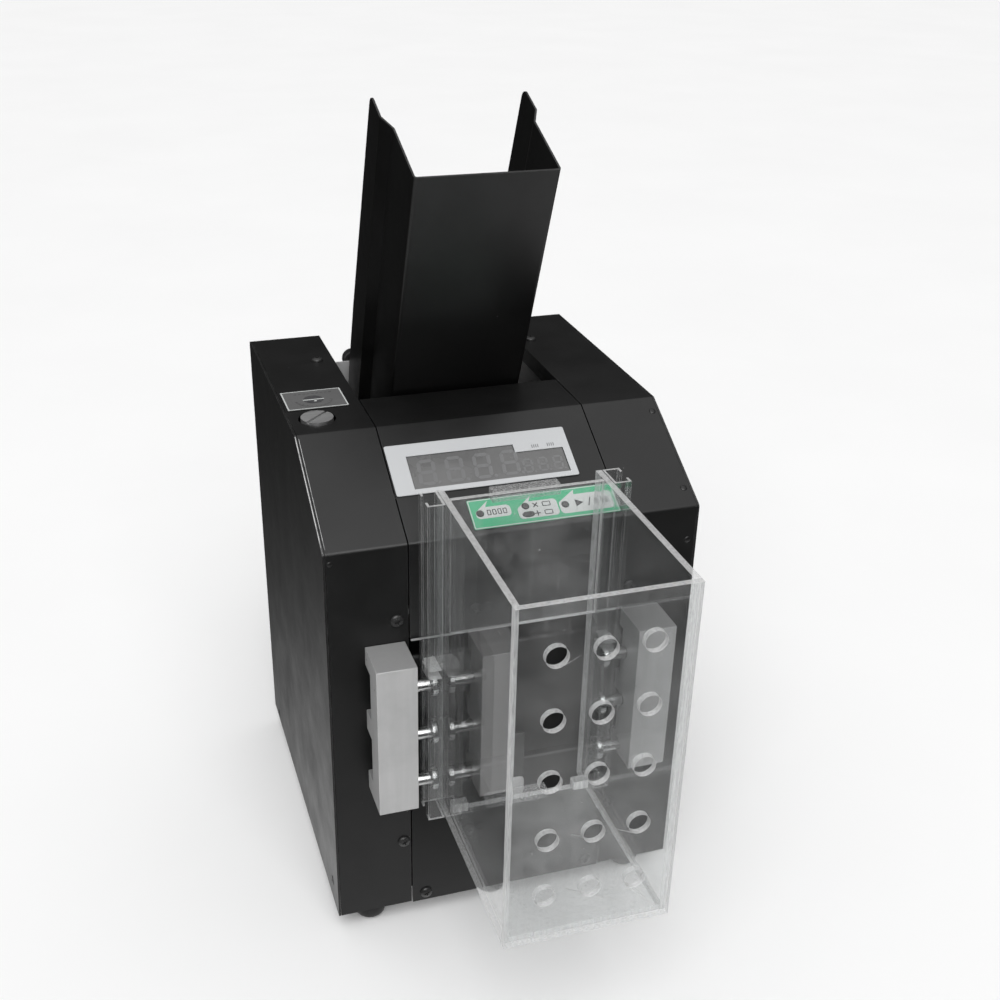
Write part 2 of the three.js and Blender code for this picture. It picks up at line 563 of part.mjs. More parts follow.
function drive() {
  const motorEnd = -FRAME.inner + 0.4;
  const motor = turnedX([
    [motorEnd + 12, 0], [motorEnd + 12, MOTOR.shaftR + 0.6], [motorEnd, MOTOR.shaftR + 0.6],
    [motorEnd, MOTOR.r], [8, MOTOR.r], [12, MOTOR.r - 4], [12, 0],
  ]);
  place("drive_motor", motor.translate(0, MOTOR.y, MOTOR.z), BLACK_COAT);
  const pulley = turnedX([
    [-98, 0], [-98, MOTOR.shaftR], [-94, MOTOR.shaftR], [-94, MOTOR.pulleyR],
    [-86, MOTOR.pulleyR], [-86, MOTOR.shaftR], [-64, MOTOR.shaftR], [-64, 0],
  ]);
  place("motor_pulley", pulley.translate(0, MOTOR.y, MOTOR.z), BRIGHT_STEEL);
  const pulleys = [
    [MOTOR.y, MOTOR.z, MOTOR.pulleyR], [FEED_AXIS.y, FEED_AXIS.z, FEED.pulleyR],
    [EXIT_AXIS.y, EXIT_AXIS.z, EXIT.pulleyR],
  ];
  const inside = aroundPulleys(pulleys, BELT.slack);
  const outside = aroundPulleys(pulleys, BELT.slack + BELT.thick);
  place("drive_belt", extrudeX(outside, [BELT.inner, BELT.outer], [inside]), BLACK_RUBBER);
}

// ---------------------------------------------------------------- power
function power() {
  const board = join(
    slab([86, 87.6], [-60, 60], [60, 180]),
    slab([87, 117], [-44, -4], [78, 120]),
    slab([87, 104], [14, 50], [78, 150]),
    bar("x", 9, [87, 112], -22, 148, 24),
    bar("x", 6, [87, 106], 0, 152, 24),
  );
  place("power_supply", board, BOARD_GREEN);
  const { x, z, halfW, halfH } = INLET;
  const around = (extra, depth) =>
    slab([x - halfW - extra, x + halfW + extra], depth, [z - halfH - extra, z + halfH + extra]);
  const socket = cut(
    join(around(0, [REAR - 22, REAR + 1]), around(2.5, [REAR + GAP, REAR + 2.3])),
    around(-2, [REAR + 2.3 - INLET.cavityDepth, REAR + 4]),
  );
  place("power_inlet", socket, BLACK_PLASTIC);
  const rocker = rounded([
    [REAR - 12, SWITCH.z - 6, 1], [REAR + 0.6, SWITCH.z - SWITCH.halfH, 1], [REAR + 1, SWITCH.z, 3],
    [REAR + 4.4, SWITCH.z + SWITCH.halfH - 0.6, 1], [REAR - 12, SWITCH.z + 6, 1],
  ]);
  const width = [SWITCH.x - SWITCH.halfW, SWITCH.x + SWITCH.halfW];
  place("power_switch", extrudeX(rocker, width), BLACK_PLASTIC);
}

// ---------------------------------------------------------------- mount blocks and screws
const POCKET = { from: 14, depth: 13 }; // the outer part of each pocket goes deeper

function mountBlocks() {
  const { front, rear, notch, inner, outer } = BLOCK;
  const { bottom, top } = RECESS;
  const pocket = rear - notch;
  const gaps = [[141, 175], [190, 225]]; // heights of the two pockets between the three pads
  const pockets = gaps.flatMap(([low, high]) =>
    [[rear, low], [pocket, low], [pocket, high], [rear, high]]);
  const outline = [[front, bottom], [rear, bottom], ...pockets, [rear, top], [front, top]];
  for (const side of [LEFT, RIGHT]) {
    const holes = SCREW.heights.map((z) =>
      bar("x", SCREW.shaftR + 0.4, span(side, inner - 2, inner + 12), SCREW.y, z, 16));
    const deepPockets = gaps.map((heights) =>
      slab(span(side, inner + POCKET.from, outer + 1), [rear - POCKET.depth, rear + 1], heights));
    const block = cut(extrudeX(outline, span(side, inner, outer)), ...holes, ...deepPockets);
    place(`${sideName(side)}_mount_block`, block, ALUMINIUM);
    SCREW.heights.forEach((z, i) => railScrew(side, z, i + 1));
  }
}

// A cap screw whose head hangs inside the box rail.
function railScrew(side, z, number) {
  const headIn = RAIL.inner + RAIL.wall + 1.2;
  const head = bar("x", SCREW.headR, span(side, headIn, headIn + SCREW.headT), SCREW.y, z, 20);
  const shaftEnd = BLOCK.inner + 10;
  const shaft = bar("x", SCREW.shaftR, span(side, headIn + 1, shaftEnd), SCREW.y, z, 16);
  place(`${sideName(side)}_rail_screw_${number}`, join(head, shaft), BRIGHT_STEEL);
}

// ---------------------------------------------------------------- receiving box
const REAR_SHEET = { thick: 3, bottom: 248 }; // stops the cards above the exit opening
const BAR = { half: 22, depth: 8, height: 7 };

function boxWalls() {
  const { half, wall, front, bottom, top } = BOX;
  const height = [bottom, top];
  const sheet = slab([-half, half], [front, front + wall], height);
  const holes = HOLES.columns.flatMap((x) => Array.from({ length: HOLES.rows }, (_, row) =>
    bar("y", HOLES.radius, [front - 1, front + wall + 1], x, HOLES.topRow - row * HOLES.pitch, 20)));
  place("box_front_wall", cut(sheet, ...holes), ACRYLIC);
  for (const side of [LEFT, RIGHT]) {
    const plate = slab(span(side, half - wall, half), [front + wall + GAP, RAIL.rear], height);
    place(`box_${sideName(side)}_wall`, plate, ACRYLIC);
  }
}

function boxFloor() {
  const half = BOX.half - BOX.wall - GAP;
  const depth = [BOX.front + BOX.wall + GAP, BOX.rear];
  place("box_floor", slab([-half, half], depth, [BOX.floorZ, BOX.floorZ + BOX.wall]), ACRYLIC);
}

function boxRails() {
  const { inner, outer, front, rear, wall } = RAIL;
  const slot = [SCREW.y - SCREW.shaftR - 0.5, SCREW.y + SCREW.shaftR + 0.5];
  const outline = [
    [outer, slot[0]], [outer, front], [inner, front], [inner, rear], [outer, rear],
    [outer, slot[1]], [outer - wall, slot[1]], [outer - wall, rear - wall],
    [inner + wall, rear - wall], [inner + wall, front + wall], [outer - wall, front + wall],
    [outer - wall, slot[0]],
  ];
  const stopZ = SCREW.heights.at(-1) + SCREW.headR + 0.5; // the plug that rests on the top heads
  for (const side of [LEFT, RIGHT]) {
    const channel = extrudeZ(outline.map(([x, y]) => [side * x, y]), [BOX.bottom, BOX.top]);
    const plug = slab(span(side, inner + 0.5, outer - 0.5), [front + 0.5, rear - 0.5],
      [stopZ, stopZ + 6]);
    place(`box_${sideName(side)}_rail`, join(channel, plug), ACRYLIC);
  }
}

function boxBars() {
  const half = BOX.half - BOX.wall - GAP;
  const sheetY = [BOX.rear + 0.6, BOX.rear + 0.6 + REAR_SHEET.thick];
  place("box_rear_wall", slab([-half, half], sheetY, [REAR_SHEET.bottom, BOX.top]), ACRYLIC);
  const handleY = [sheetY[1] + GAP, sheetY[1] + GAP + BAR.depth];
  const across = [-BAR.half, BAR.half];
  place("box_handle", slab(across, handleY, [BOX.top - BAR.height, BOX.top]), ACRYLIC);
  const rearY = [BOX.rear + GAP, BOX.rear + GAP + BAR.depth];
  const rearZ = [BOX.floorZ - 4, BOX.floorZ - 4 + BAR.height];
  place("box_rear_bar", slab(across, rearY, rearZ), ACRYLIC);
}

sideCovers();
sidePanels();
basePlate();
frontCentreCover();
lowerFrontPlate();
rearPanel();
feet();
framePlates();
cardDeck();
cardSensor();
hopperChannel();
hopperBracket();
hopperKnobs();
display();
keypad();
dial();
gapLever();
feeder();
drive();
power();
mountBlocks();
boxWalls();
boxFloor();
boxRails();
boxBars();
machine.position.y = ORIGIN_SHIFT_Y;

export default machine;
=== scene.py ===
"""Looks for a card counting and dealing machine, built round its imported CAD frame.

Metres, +Z up, the front faces -Y. Small sizes are written in millimetres and scaled by MM.
"""
import json
import math

import bmesh
import bpy
from mathutils import Matrix, Vector


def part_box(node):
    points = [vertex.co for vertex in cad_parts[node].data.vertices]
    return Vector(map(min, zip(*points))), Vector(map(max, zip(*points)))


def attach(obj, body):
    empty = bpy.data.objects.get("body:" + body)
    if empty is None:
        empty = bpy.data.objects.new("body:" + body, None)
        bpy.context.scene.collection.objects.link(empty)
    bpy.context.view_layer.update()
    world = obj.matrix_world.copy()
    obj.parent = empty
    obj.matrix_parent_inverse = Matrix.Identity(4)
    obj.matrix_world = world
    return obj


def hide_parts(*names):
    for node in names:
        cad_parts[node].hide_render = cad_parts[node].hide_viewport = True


MM = 0.001
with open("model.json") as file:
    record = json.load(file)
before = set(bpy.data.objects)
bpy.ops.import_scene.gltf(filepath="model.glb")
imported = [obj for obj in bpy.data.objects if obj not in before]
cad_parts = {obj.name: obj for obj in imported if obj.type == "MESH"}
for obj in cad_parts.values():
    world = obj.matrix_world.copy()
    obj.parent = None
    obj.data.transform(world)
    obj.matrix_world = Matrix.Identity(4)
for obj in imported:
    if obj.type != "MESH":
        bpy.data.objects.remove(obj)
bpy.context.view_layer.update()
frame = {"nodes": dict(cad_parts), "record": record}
NODES = frame["nodes"]

# ------------------------------------------------------------------ places on the frame
COVER_LOW, COVER_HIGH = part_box("left_side_cover")
SIDE_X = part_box("right_side_panel")[1].x
FRONT_Y, REAR_Y, TOP_Z = COVER_LOW.y, COVER_HIGH.y, COVER_HIGH.z
MID_Y = (FRONT_Y + REAR_Y) / 2
SLOPE_RUN, SLOPE_DROP = 80.6 * MM, 44.7 * MM
SLOPE_ANGLE = math.atan2(SLOPE_DROP, SLOPE_RUN)
SLOPE_LENGTH = math.hypot(SLOPE_RUN, SLOPE_DROP) / MM


def frame_at(origin, across, up):
    """A drawing plane: its x is across, its y is up, and its z points out of the surface."""
    x = Vector(across).normalized()
    y = Vector(up).normalized()
    matrix = Matrix((x, y, x.cross(y))).transposed().to_4x4()
    matrix.translation = Vector(origin)
    return matrix


SLOPE = frame_at((0, FRONT_Y, TOP_Z - SLOPE_DROP), (1, 0, 0),
                 (0, math.cos(SLOPE_ANGLE), math.sin(SLOPE_ANGLE)))
FRONT = frame_at((0, FRONT_Y, 0), (1, 0, 0), (0, 0, 1))
REAR = frame_at((0, REAR_Y, 0), (-1, 0, 0), (0, 0, 1))
TOP = frame_at((0, MID_Y, TOP_Z), (1, 0, 0), (0, 1, 0))
LEFT = frame_at((-SIDE_X, MID_Y, 0), (0, -1, 0), (0, 0, 1))
RIGHT = frame_at((SIDE_X, MID_Y, 0), (0, 1, 0), (0, 0, 1))

# ------------------------------------------------------------------ camera
CAMERA_AT = Vector((-0.2451, MID_Y - 0.8091, 0.6843))
AZIMUTH, ELEVATION, ROLL = (math.radians(v) for v in (-17.04, 28.21, 0.56))
SENSOR_MM, LENS_MM = 36, 46.55
FRAME_SHIFT = 0.04


def make_camera():
    """A view from the front left and above, with a slight roll."""
    back = Vector((math.sin(AZIMUTH) * math.cos(ELEVATION),
                   -math.cos(AZIMUTH) * math.cos(ELEVATION), math.sin(ELEVATION)))
    level = Vector((math.cos(AZIMUTH), math.sin(AZIMUTH), 0))
    upward = back.cross(level)
    right = math.cos(ROLL) * level + math.sin(ROLL) * upward
    turn = Matrix((right, back.cross(right), back)).transposed().to_4x4()
    data = bpy.data.cameras.new("camera")
    data.sensor_width = SENSOR_MM
    data.lens = LENS_MM
    data.shift_x = FRAME_SHIFT
    data.shift_y = FRAME_SHIFT
    data.clip_start, data.clip_end = 0.01, 50
    camera = bpy.data.objects.new("camera", data)
    camera.matrix_world = Matrix.Translation(CAMERA_AT) @ turn
    bpy.context.scene.collection.objects.link(camera)
    bpy.context.scene.camera = camera


# ------------------------------------------------------------------ shader building
class Shader:
    """A material's node tree, with short calls to add and join its nodes."""

    def __init__(self, name):
        self.material = bpy.data.materials.new(name)
        self.material.use_nodes = True
        self.tree = self.material.node_tree
        self.tree.nodes.clear()
        self.place = self.add("ShaderNodeTexCoord").outputs["Object"]
        self.out = self.add("ShaderNodeOutputMaterial")

    def add(self, kind, values=None, **settings):
        node = self.tree.nodes.new(kind)
        for key, value in settings.items():
            setattr(node, key, value)
        for key, value in (values or {}).items():
            self.put(node.inputs[key], value)
        return node

    def put(self, socket, value):
        if isinstance(value, bpy.types.NodeSocket):
            self.tree.links.new(value, socket)
        else:
            socket.default_value = value

    def noise(self, scale, detail=4.0, rough=0.55, at=None):
        return self.add("ShaderNodeTexNoise", {"Vector": at or self.place, "Scale": scale,
                                               "Detail": detail, "Roughness": rough}).outputs["Fac"]

    def stretch(self, factors):
        """Object coordinates scaled along each axis, for brushed or streaked patterns."""
        return self.add("ShaderNodeMapping", {"Vector": self.place, "Scale": factors}).outputs[0]

    def ramp(self, value, low, high, from_min=0.3, from_max=0.7):
        """value stretched from from_min..from_max to low..high, and kept inside it."""
        return self.add("ShaderNodeMapRange", {"Value": value, "From Min": from_min,
                                               "From Max": from_max, "To Min": low,
                                               "To Max": high}).outputs[0]

    def math(self, operation, first, second=0.0):
        node = self.add("ShaderNodeMath", operation=operation)
        self.put(node.inputs[0], first)
        self.put(node.inputs[1], second)
        return node.outputs[0]

    def mix(self, factor, first, second):
        node = self.add("ShaderNodeMix", data_type="RGBA")
        self.put(node.inputs["Factor"], factor)
        self.put(node.inputs["A"], first)
        self.put(node.inputs["B"], second)
        return node.outputs["Result"]

    def bump(self, height, depth, strength=1.0):
        return self.add("ShaderNodeBump", {"Height": height, "Distance": depth,
                                           "Strength": strength}).outputs[0]

    def normal_part(self, axis):
        """One component of the surface's own direction, in the piece's frame."""
        turned = self.add("ShaderNodeVectorTransform", vector_type="NORMAL",
                          convert_from="WORLD", convert_to="OBJECT")
        self.put(turned.inputs[0], self.add("ShaderNodeNewGeometry").outputs["Normal"])
        return self.add("ShaderNodeSeparateXYZ", {0: turned.outputs[0]}).outputs[axis]

    def surface(self, colour, roughness, **values):
        node = self.add("ShaderNodeBsdfPrincipled", {"Base Color": colour, "Roughness": roughness})
        for key, value in values.items():
            self.put(node.inputs[key.replace("_", " ").title()], value)
        return node.outputs[0]

    def done(self, shader):
        self.tree.links.new(shader, self.out.inputs["Surface"])
        return self.material


def grey(value):
    return (value, value, value, 1)


def specks(s, scale, size):
    """Sparse small dots, 1 inside a dot and 0 elsewhere."""
    cells = s.add("ShaderNodeTexVoronoi", {"Vector": s.place, "Scale": scale})
    dot = s.math("LESS_THAN", cells.outputs["Distance"], size)
    picked = s.add("ShaderNodeSeparateColor", {0: cells.outputs["Color"]}).outputs[0]
    return s.math("MULTIPLY", dot, s.math("GREATER_THAN", picked, 0.86))


def bent(s, radius):
    """0 on flat faces, rising towards 1 within radius of a sharp edge."""
    soft = s.add("ShaderNodeBevel", {"Radius": radius}, samples=4).outputs[0]
    true = s.add("ShaderNodeNewGeometry").outputs["Normal"]
    dot = s.add("ShaderNodeVectorMath", operation="DOT_PRODUCT")
    s.put(dot.inputs[0], soft)
    s.put(dot.inputs[1], true)
    return s.ramp(dot.outputs["Value"], 1.0, 0.0, 0.80, 0.985)


def worn_edges(s, radius):
    """Where a sharp edge rubs bare, broken up by a noise."""
    return s.math("MULTIPLY", bent(s, radius), s.ramp(s.noise(90, 5), 0.25, 1.0, 0.42, 0.62))


def coat(name, dark, light, rough, wear, dust=0.035):
    """Satin powder coat: fine orange peel, uneven tone, lint, rubbed edges, and paler upward faces,
    partly dust and partly painted sheen.
    """
    s = Shader(name)
    tone = s.mix(s.ramp(s.noise(22, 6), 0.0, 1.0), grey(dark), grey(light))
    # Upward faces turn paler by a noise: partly dust, partly painted sheen of the light from above.
    haze = s.math("MULTIPLY", s.ramp(s.normal_part(2), 0.1, 1.0, 0.2, 1.0),
                  s.ramp(s.noise(14, 8, 0.7), 0.0, 1.0, 0.38, 0.72))
    dust_and_sheen_tone = s.mix(s.math("MULTIPLY", haze, dust), tone, grey(0.20))
    lint = s.mix(s.math("MULTIPLY", specks(s, 95, 0.045), 0.20), dust_and_sheen_tone, grey(0.30))
    edge = s.mix(s.math("MULTIPLY", worn_edges(s, 0.0009), wear), lint, grey(0.22))
    shine = s.ramp(s.noise(30, 6, 0.65), rough - 0.04, rough + 0.07)
    peel = s.bump(s.noise(1100, 2), 0.00006, 0.35)
    return s.done(s.surface(edge, shine, normal=peel))


def brushed(name, value, rough, along, depth=0.00004):
    """Bare metal with fine grain along one axis and duller patches."""
    s = Shader(name)
    factors = {"x": (40, 900, 900), "y": (900, 40, 900), "z": (900, 900, 40)}[along]
    grain = s.noise(1.0, 3, 0.6, s.stretch(factors))
    patch = s.noise(45, 5, 0.6)
    tone = s.mix(s.ramp(grain, 0.0, 1.0), grey(value * 0.86), grey(value * 1.08))
    dull = s.mix(s.ramp(patch, 0.0, 0.35), tone, grey(value * 0.7))
    shine = s.math("ADD", s.ramp(grain, rough - 0.06, rough + 0.06), s.ramp(patch, 0.0, 0.1))
    return s.done(s.surface(dull, shine, metallic=1.0, normal=s.bump(grain, depth, 0.5)))


def blasted_aluminium(name):
    """Pale matt machined aluminium with faint streaks, small dark nicks, rubbed corners and painted
    shade on its upward faces.
    """
    s = Shader(name)
    streak = s.noise(1.0, 3, 0.6, s.stretch((200, 200, 9)))
    cloud = s.noise(28, 6, 0.6)
    tone = s.mix(s.ramp(streak, 0.0, 1.0), grey(0.43), grey(0.47))
    smudge = s.mix(s.ramp(cloud, 0.0, 0.6, 0.45, 0.75), tone, grey(0.36))
    # Painted shade: faces that look up are darkened.
    painted_top_shade = s.mix(s.ramp(s.normal_part(2), 0.0, 0.7, 0.5, 0.9), smudge, grey(0.24))
    nick = s.mix(s.math("MULTIPLY", specks(s, 120, 0.09), 0.75), painted_top_shade, grey(0.06))
    bare = s.mix(s.math("MULTIPLY", worn_edges(s, 0.0007), 0.5), nick, grey(0.75))
    bump = s.bump(s.noise(1700, 2), 0.00005, 0.4)
    return s.done(s.surface(bare, s.ramp(cloud, 0.42, 0.55), metallic=0.2, normal=bump))


def broken_pale_lines(name):
    """Black with pale grey stretches broken up by a noise, a little glossier where pale."""
    s = Shader(name)
    pale_share = s.ramp(s.noise(70, 6, 0.7), 0.15, 1.0, 0.38, 0.56)
    tone = s.mix(pale_share, grey(0.03), grey(0.50))
    return s.done(s.surface(tone, s.ramp(pale_share, 0.5, 0.3), normal=s.bump(pale_share, 0.00003, 0.3)))


def moulded(name, colour, rough, grain=1500):
    """Moulded plastic or rubber: fine grain and an uneven sheen."""
    s = Shader(name)
    pale = tuple(min(1, c * 1.35 + 0.004) for c in colour[:3]) + (1,)
    tone = s.mix(s.ramp(s.noise(60, 5), 0.0, 1.0), colour, pale)
    dust = s.mix(s.math("MULTIPLY", specks(s, 150, 0.05), 0.3), tone, grey(0.3))
    bump = s.bump(s.noise(grain, 2), 0.00005, 0.4)
    return s.done(s.surface(dust, s.ramp(s.noise(80, 4), rough - 0.06, rough + 0.06), normal=bump))


def printed(name, colour, rough=0.42, wear=0.12):
    """Printed film: nearly even colour with slight fading and a fine matt texture."""
    s = Shader(name)
    faded = tuple(c * (1 - wear) + 0.5 * wear for c in colour[:3]) + (1,)
    tone = s.mix(s.ramp(s.noise(55, 6), 0.0, 1.0, 0.35, 0.8), colour, faded)
    bump = s.bump(s.noise(2200, 2), 0.00002, 0.3)
    return s.done(s.surface(tone, s.ramp(s.noise(70, 5), rough - 0.08, rough + 0.08), normal=bump))


def handled_film(s, smear, haze):
    """How much a clear sheet is covered by smears, long scratches and dust specks."""
    scratch = s.noise(1.0, 2, 0.5, s.stretch((420, 420, 16)))
    film = s.math("ADD", s.ramp(smear, haze * 0.3, haze * 2.2, 0.38, 0.74),
                  s.ramp(scratch, 0.0, haze * 1.2, 0.62, 0.74))
    return s.math("ADD", film, s.math("MULTIPLY", specks(s, 120, 0.06), 0.25))


def sawn_cover(s, axis, edge):
    """How much of a sheet's cut faces is frosted; without an axis, its level ends are the cut."""
    if axis is None:
        cut = s.math("GREATER_THAN", s.math("ABSOLUTE", s.normal_part(2)), 0.9)
    else:
        cut = s.math("LESS_THAN", s.math("ABSOLUTE", s.normal_part(axis)), 0.9)
    saw = s.ramp(s.noise(1.0, 3, 0.6, s.stretch((800, 800, 110))), edge - 0.20, edge + 0.12)
    return s.math("MULTIPLY", cut, saw)


def acrylic(name, axis, haze=0.03, edge=0.60):
    """Clear sheet whose broad faces look along one axis; its cut faces are pale and nearly matt.
    Every sharp edge gets a painted highlight: a pale band.
    """
    s = Shader(name)
    smear = s.noise(24, 7, 0.68)
    # Painted highlight: a pale band along every sharp edge.
    rim = s.math("MULTIPLY", s.ramp(bent(s, 0.0007), 0.0, 0.85, 0.25, 0.9),
                 s.ramp(s.noise(1.0, 4, 0.6, s.stretch((300, 300, 60))), 0.55, 1.0))
    cover = s.math("MAXIMUM", handled_film(s, smear, haze), rim)
    cover = s.math("MAXIMUM", cover, sawn_cover(s, axis, edge))
    pale = s.surface(grey(0.72), s.ramp(smear, 0.30, 0.5), normal=s.bump(smear, 0.0002, 0.3))
    gloss = s.add("ShaderNodeBsdfGlossy", {"Color": grey(0.95), "Roughness": 0.04}).outputs[0]
    clear = s.add("ShaderNodeBsdfTransparent", {"Color": (0.965, 0.97, 0.97, 1)}).outputs[0]
    grazing = s.add("ShaderNodeLayerWeight", {"Blend": 0.5}).outputs["Facing"]
    mirror = s.ramp(s.math("POWER", grazing, 4.4), 0.04, 1.0, 0.0, 1.0)
    pane = s.add("ShaderNodeMixShader", {0: mirror, 1: clear, 2: gloss}).outputs[0]
    return s.done(s.add("ShaderNodeMixShader", {0: cover, 1: pane, 2: pale}).outputs[0])


def smoked_window(name):
    """Grey window under a glossy, slightly smeared face."""
    s = Shader(name)
    smear = s.noise(40, 6, 0.6)
    tone = s.mix(s.ramp(smear, 0.0, 1.0), grey(0.105), grey(0.13))
    shine = s.ramp(smear, 0.2, 0.34)
    return s.done(s.surface(tone, shine, coat_weight=s.ramp(smear, 0.2, 0.5)))


def circuit_board(name):
    """Green board with lighter copper tracks in squares and a glossy lacquer."""
    s = Shader(name)
    tracks = s.add("ShaderNodeTexBrick", {
        "Vector": s.place, "Scale": 160.0, "Mortar Size": 0.03,
        "Color1": (0.02, 0.14, 0.05, 1), "Color2": (0.015, 0.10, 0.04, 1),
        "Mortar": (0.05, 0.26, 0.10, 1)}).outputs["Color"]
    return s.done(s.surface(tracks, s.ramp(s.noise(60), 0.25, 0.4),
                            normal=s.bump(s.noise(900), 0.0001, 0.3)))


MATERIALS = {
    "black_coat": coat("black_coat", 0.0045, 0.0075, 0.36, 0.10, 0.006),
    "grey_coat": coat("grey_coat", 0.42, 0.50, 0.42, 0.3),
    "zinc_steel": brushed("zinc_steel", 0.45, 0.34, "y"),
    "block_aluminium": blasted_aluminium("block_aluminium"),
    "bright_steel": brushed("bright_steel", 0.66, 0.20, "x", 0.00002),
    "black_rubber": moulded("black_rubber", grey(0.012), 0.62, 900),
    "roller_rubber": moulded("roller_rubber", (0.30, 0.15, 0.07, 1), 0.7, 700),
    "bezel_grey": printed("bezel_grey", (0.50, 0.51, 0.52, 1)),
    "window_grey": smoked_window("window_grey"),
    "board_green": circuit_board("board_green"),
    "label_green": printed("label_green", (0.035, 0.42, 0.20, 1)),
    "key_grey": moulded("key_grey", grey(0.045), 0.5),
    "black_plastic": moulded("black_plastic", grey(0.014), 0.42),
}
# Painted shade: a darker copy of the black paint for the hopper, down in its well.
SHADED_HOPPER_COAT = coat("hopper_coat_painted_shade", 0.0015, 0.0030, 0.34, 0.30, 0.004)
# Painted light: a lighter copy of the black paint for the side panels.
LIT_PANEL_COAT = coat("panel_coat_painted_light", 0.0075, 0.0115, 0.33, 0.25, 0.01)
PALE_EDGE_LINES = broken_pale_lines("pale_edge_line")
PRINT_WHITE = printed("print_white", (0.60, 0.62, 0.61, 1))
PRINT_DARK = printed("print_dark", (0.035, 0.035, 0.038, 1), 0.5)
PRINT_GREY = printed("print_grey", grey(0.055), 0.5)
LED_OFF = printed("led_off", (0.155, 0.156, 0.158, 1), 0.3, 0.03)
LIP_GREY = printed("lip_grey", grey(0.34), 0.4, 0.2)
PLATE_GREY = printed("plate_grey", grey(0.115), 0.5, 0.03)
BLACK_SCREW = moulded("black_screw", grey(0.020), 0.32)
PAD_GREY = moulded("finger_pad_grey", grey(0.30), 0.55)
ACRYLIC_X = acrylic("clear_acrylic_x", 0)
ACRYLIC_Y = acrylic("clear_acrylic_y", 1)
ACRYLIC_Z = acrylic("clear_acrylic_z", 2, haze=0.11)
ACRYLIC_REAR = acrylic("clear_acrylic_rear", 1, haze=0.05)
ACRYLIC_RAIL = acrylic("clear_acrylic_rail", None, haze=0.012)
ACRYLIC_BAR = acrylic("clear_acrylic_bar", 1, haze=0.02, edge=0.32)
DIAL_STEEL = brushed("dial_steel", 0.62, 0.46, "x", 0.00002)
LOOK_OF_NODE = {
    "hopper_channel": SHADED_HOPPER_COAT, "dial_plate": PLATE_GREY, "gap_screw": DIAL_STEEL,
    "left_side_panel": LIT_PANEL_COAT, "right_side_panel": LIT_PANEL_COAT,
    "box_front_wall": ACRYLIC_Y, "box_left_wall": ACRYLIC_X, "box_right_wall": ACRYLIC_X,
    "box_floor": ACRYLIC_Z, "box_rear_wall": ACRYLIC_REAR, "box_handle": ACRYLIC_BAR,
    "box_rear_bar": ACRYLIC_BAR, "box_left_rail": ACRYLIC_RAIL, "box_right_rail": ACRYLIC_RAIL,
}


# ------------------------------------------------------------------ the CAD nodes' finish
WELD_DISTANCE = 2e-6
SMOOTH_BELOW = math.radians(33)
BEVEL_ABOVE = math.radians(40)


def smoothing_group():
    """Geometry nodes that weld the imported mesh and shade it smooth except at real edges."""
    group = bpy.data.node_groups.new("weld_and_smooth", "GeometryNodeTree")
    group.interface.new_socket("Geometry", in_out="INPUT", socket_type="NodeSocketGeometry")
    group.interface.new_socket("Geometry", in_out="OUTPUT", socket_type="NodeSocketGeometry")
    enter = group.nodes.new("NodeGroupInput")
    leave = group.nodes.new("NodeGroupOutput")
    weld = group.nodes.new("GeometryNodeMergeByDistance")
    weld.inputs["Distance"].default_value = WELD_DISTANCE
    faces = group.nodes.new("GeometryNodeSetShadeSmooth")
    faces.domain = "FACE"
    edges = group.nodes.new("GeometryNodeSetShadeSmooth")
    edges.domain = "EDGE"
    angle = group.nodes.new("GeometryNodeInputMeshEdgeAngle")
    flat = group.nodes.new("FunctionNodeCompare")
    flat.operation = "LESS_THAN"
    flat.inputs["B"].default_value = SMOOTH_BELOW
    link = group.links.new
    link(enter.outputs[0], weld.inputs["Geometry"])
    link(weld.outputs[0], faces.inputs["Geometry"])
    link(faces.outputs[0], edges.inputs["Geometry"])
    link(angle.outputs["Unsigned Angle"], flat.inputs["A"])
    link(flat.outputs[0], edges.inputs["Shade Smooth"])
    link(edges.outputs[0], leave.inputs[0])
    return group


# Width of each node's eased edges, in millimetres.
BEVELS = {
    "left_mount_block": 0.9, "right_mount_block": 0.9, "power_switch": 0.5, "power_inlet": 0.5,
    "display_bezel": 0.15, "display_window": 0.15, "gap_screw": 0.35, "dial_plate": 0.12,
    "hopper_channel": 0.3, "left_side_panel": 0.35, "right_side_panel": 0.35,
    "batch_button": 0.3, "clear_button": 0.3, "add_button": 0.3, "start_button": 0.3,
    "drive_motor": 0.8, "feed_shaft": 0.3, "exit_shaft": 0.3, "exit_idler": 0.3,
    "motor_pulley": 0.3, "feed_roller": 0.6, "exit_roller": 0.6, "retard_roller": 0.6,
    "gap_lever": 0.3, "left_frame_plate": 0.25, "right_frame_plate": 0.25,
    "box_front_wall": 0.25, "box_left_wall": 0.25, "box_right_wall": 0.25, "box_floor": 0.25,
    "box_rear_wall": 0.25, "box_handle": 0.5, "box_rear_bar": 0.4,
    "box_left_rail": 0.2, "box_right_rail": 0.2,
}


def finish_cad_nodes():
    """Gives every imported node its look, smooth shading and, where listed, eased edges."""
    slots = {row["node"]: row["material_slot"] for row in frame["record"]["subparts"]}
    smooth = smoothing_group()
    for name, node in NODES.items():
        look = LOOK_OF_NODE.get(name) or MATERIALS[slots[name]]
        node.data.materials.clear()
        node.data.materials.append(look)
        if "custom_normal" in node.data.attributes:
            node.data.attributes.remove(node.data.attributes["custom_normal"])
        node.modifiers.new("smooth", "NODES").node_group = smooth
        if name in BEVELS:
            bevel = node.modifiers.new("bevel", "BEVEL")
            bevel.width = BEVELS[name] * MM
            bevel.segments = 2
            bevel.limit_method = "ANGLE"
            bevel.angle_limit = BEVEL_ABOVE
            bevel.harden_normals = False


# ------------------------------------------------------------------ piece building
SHARP_ABOVE = math.radians(35)


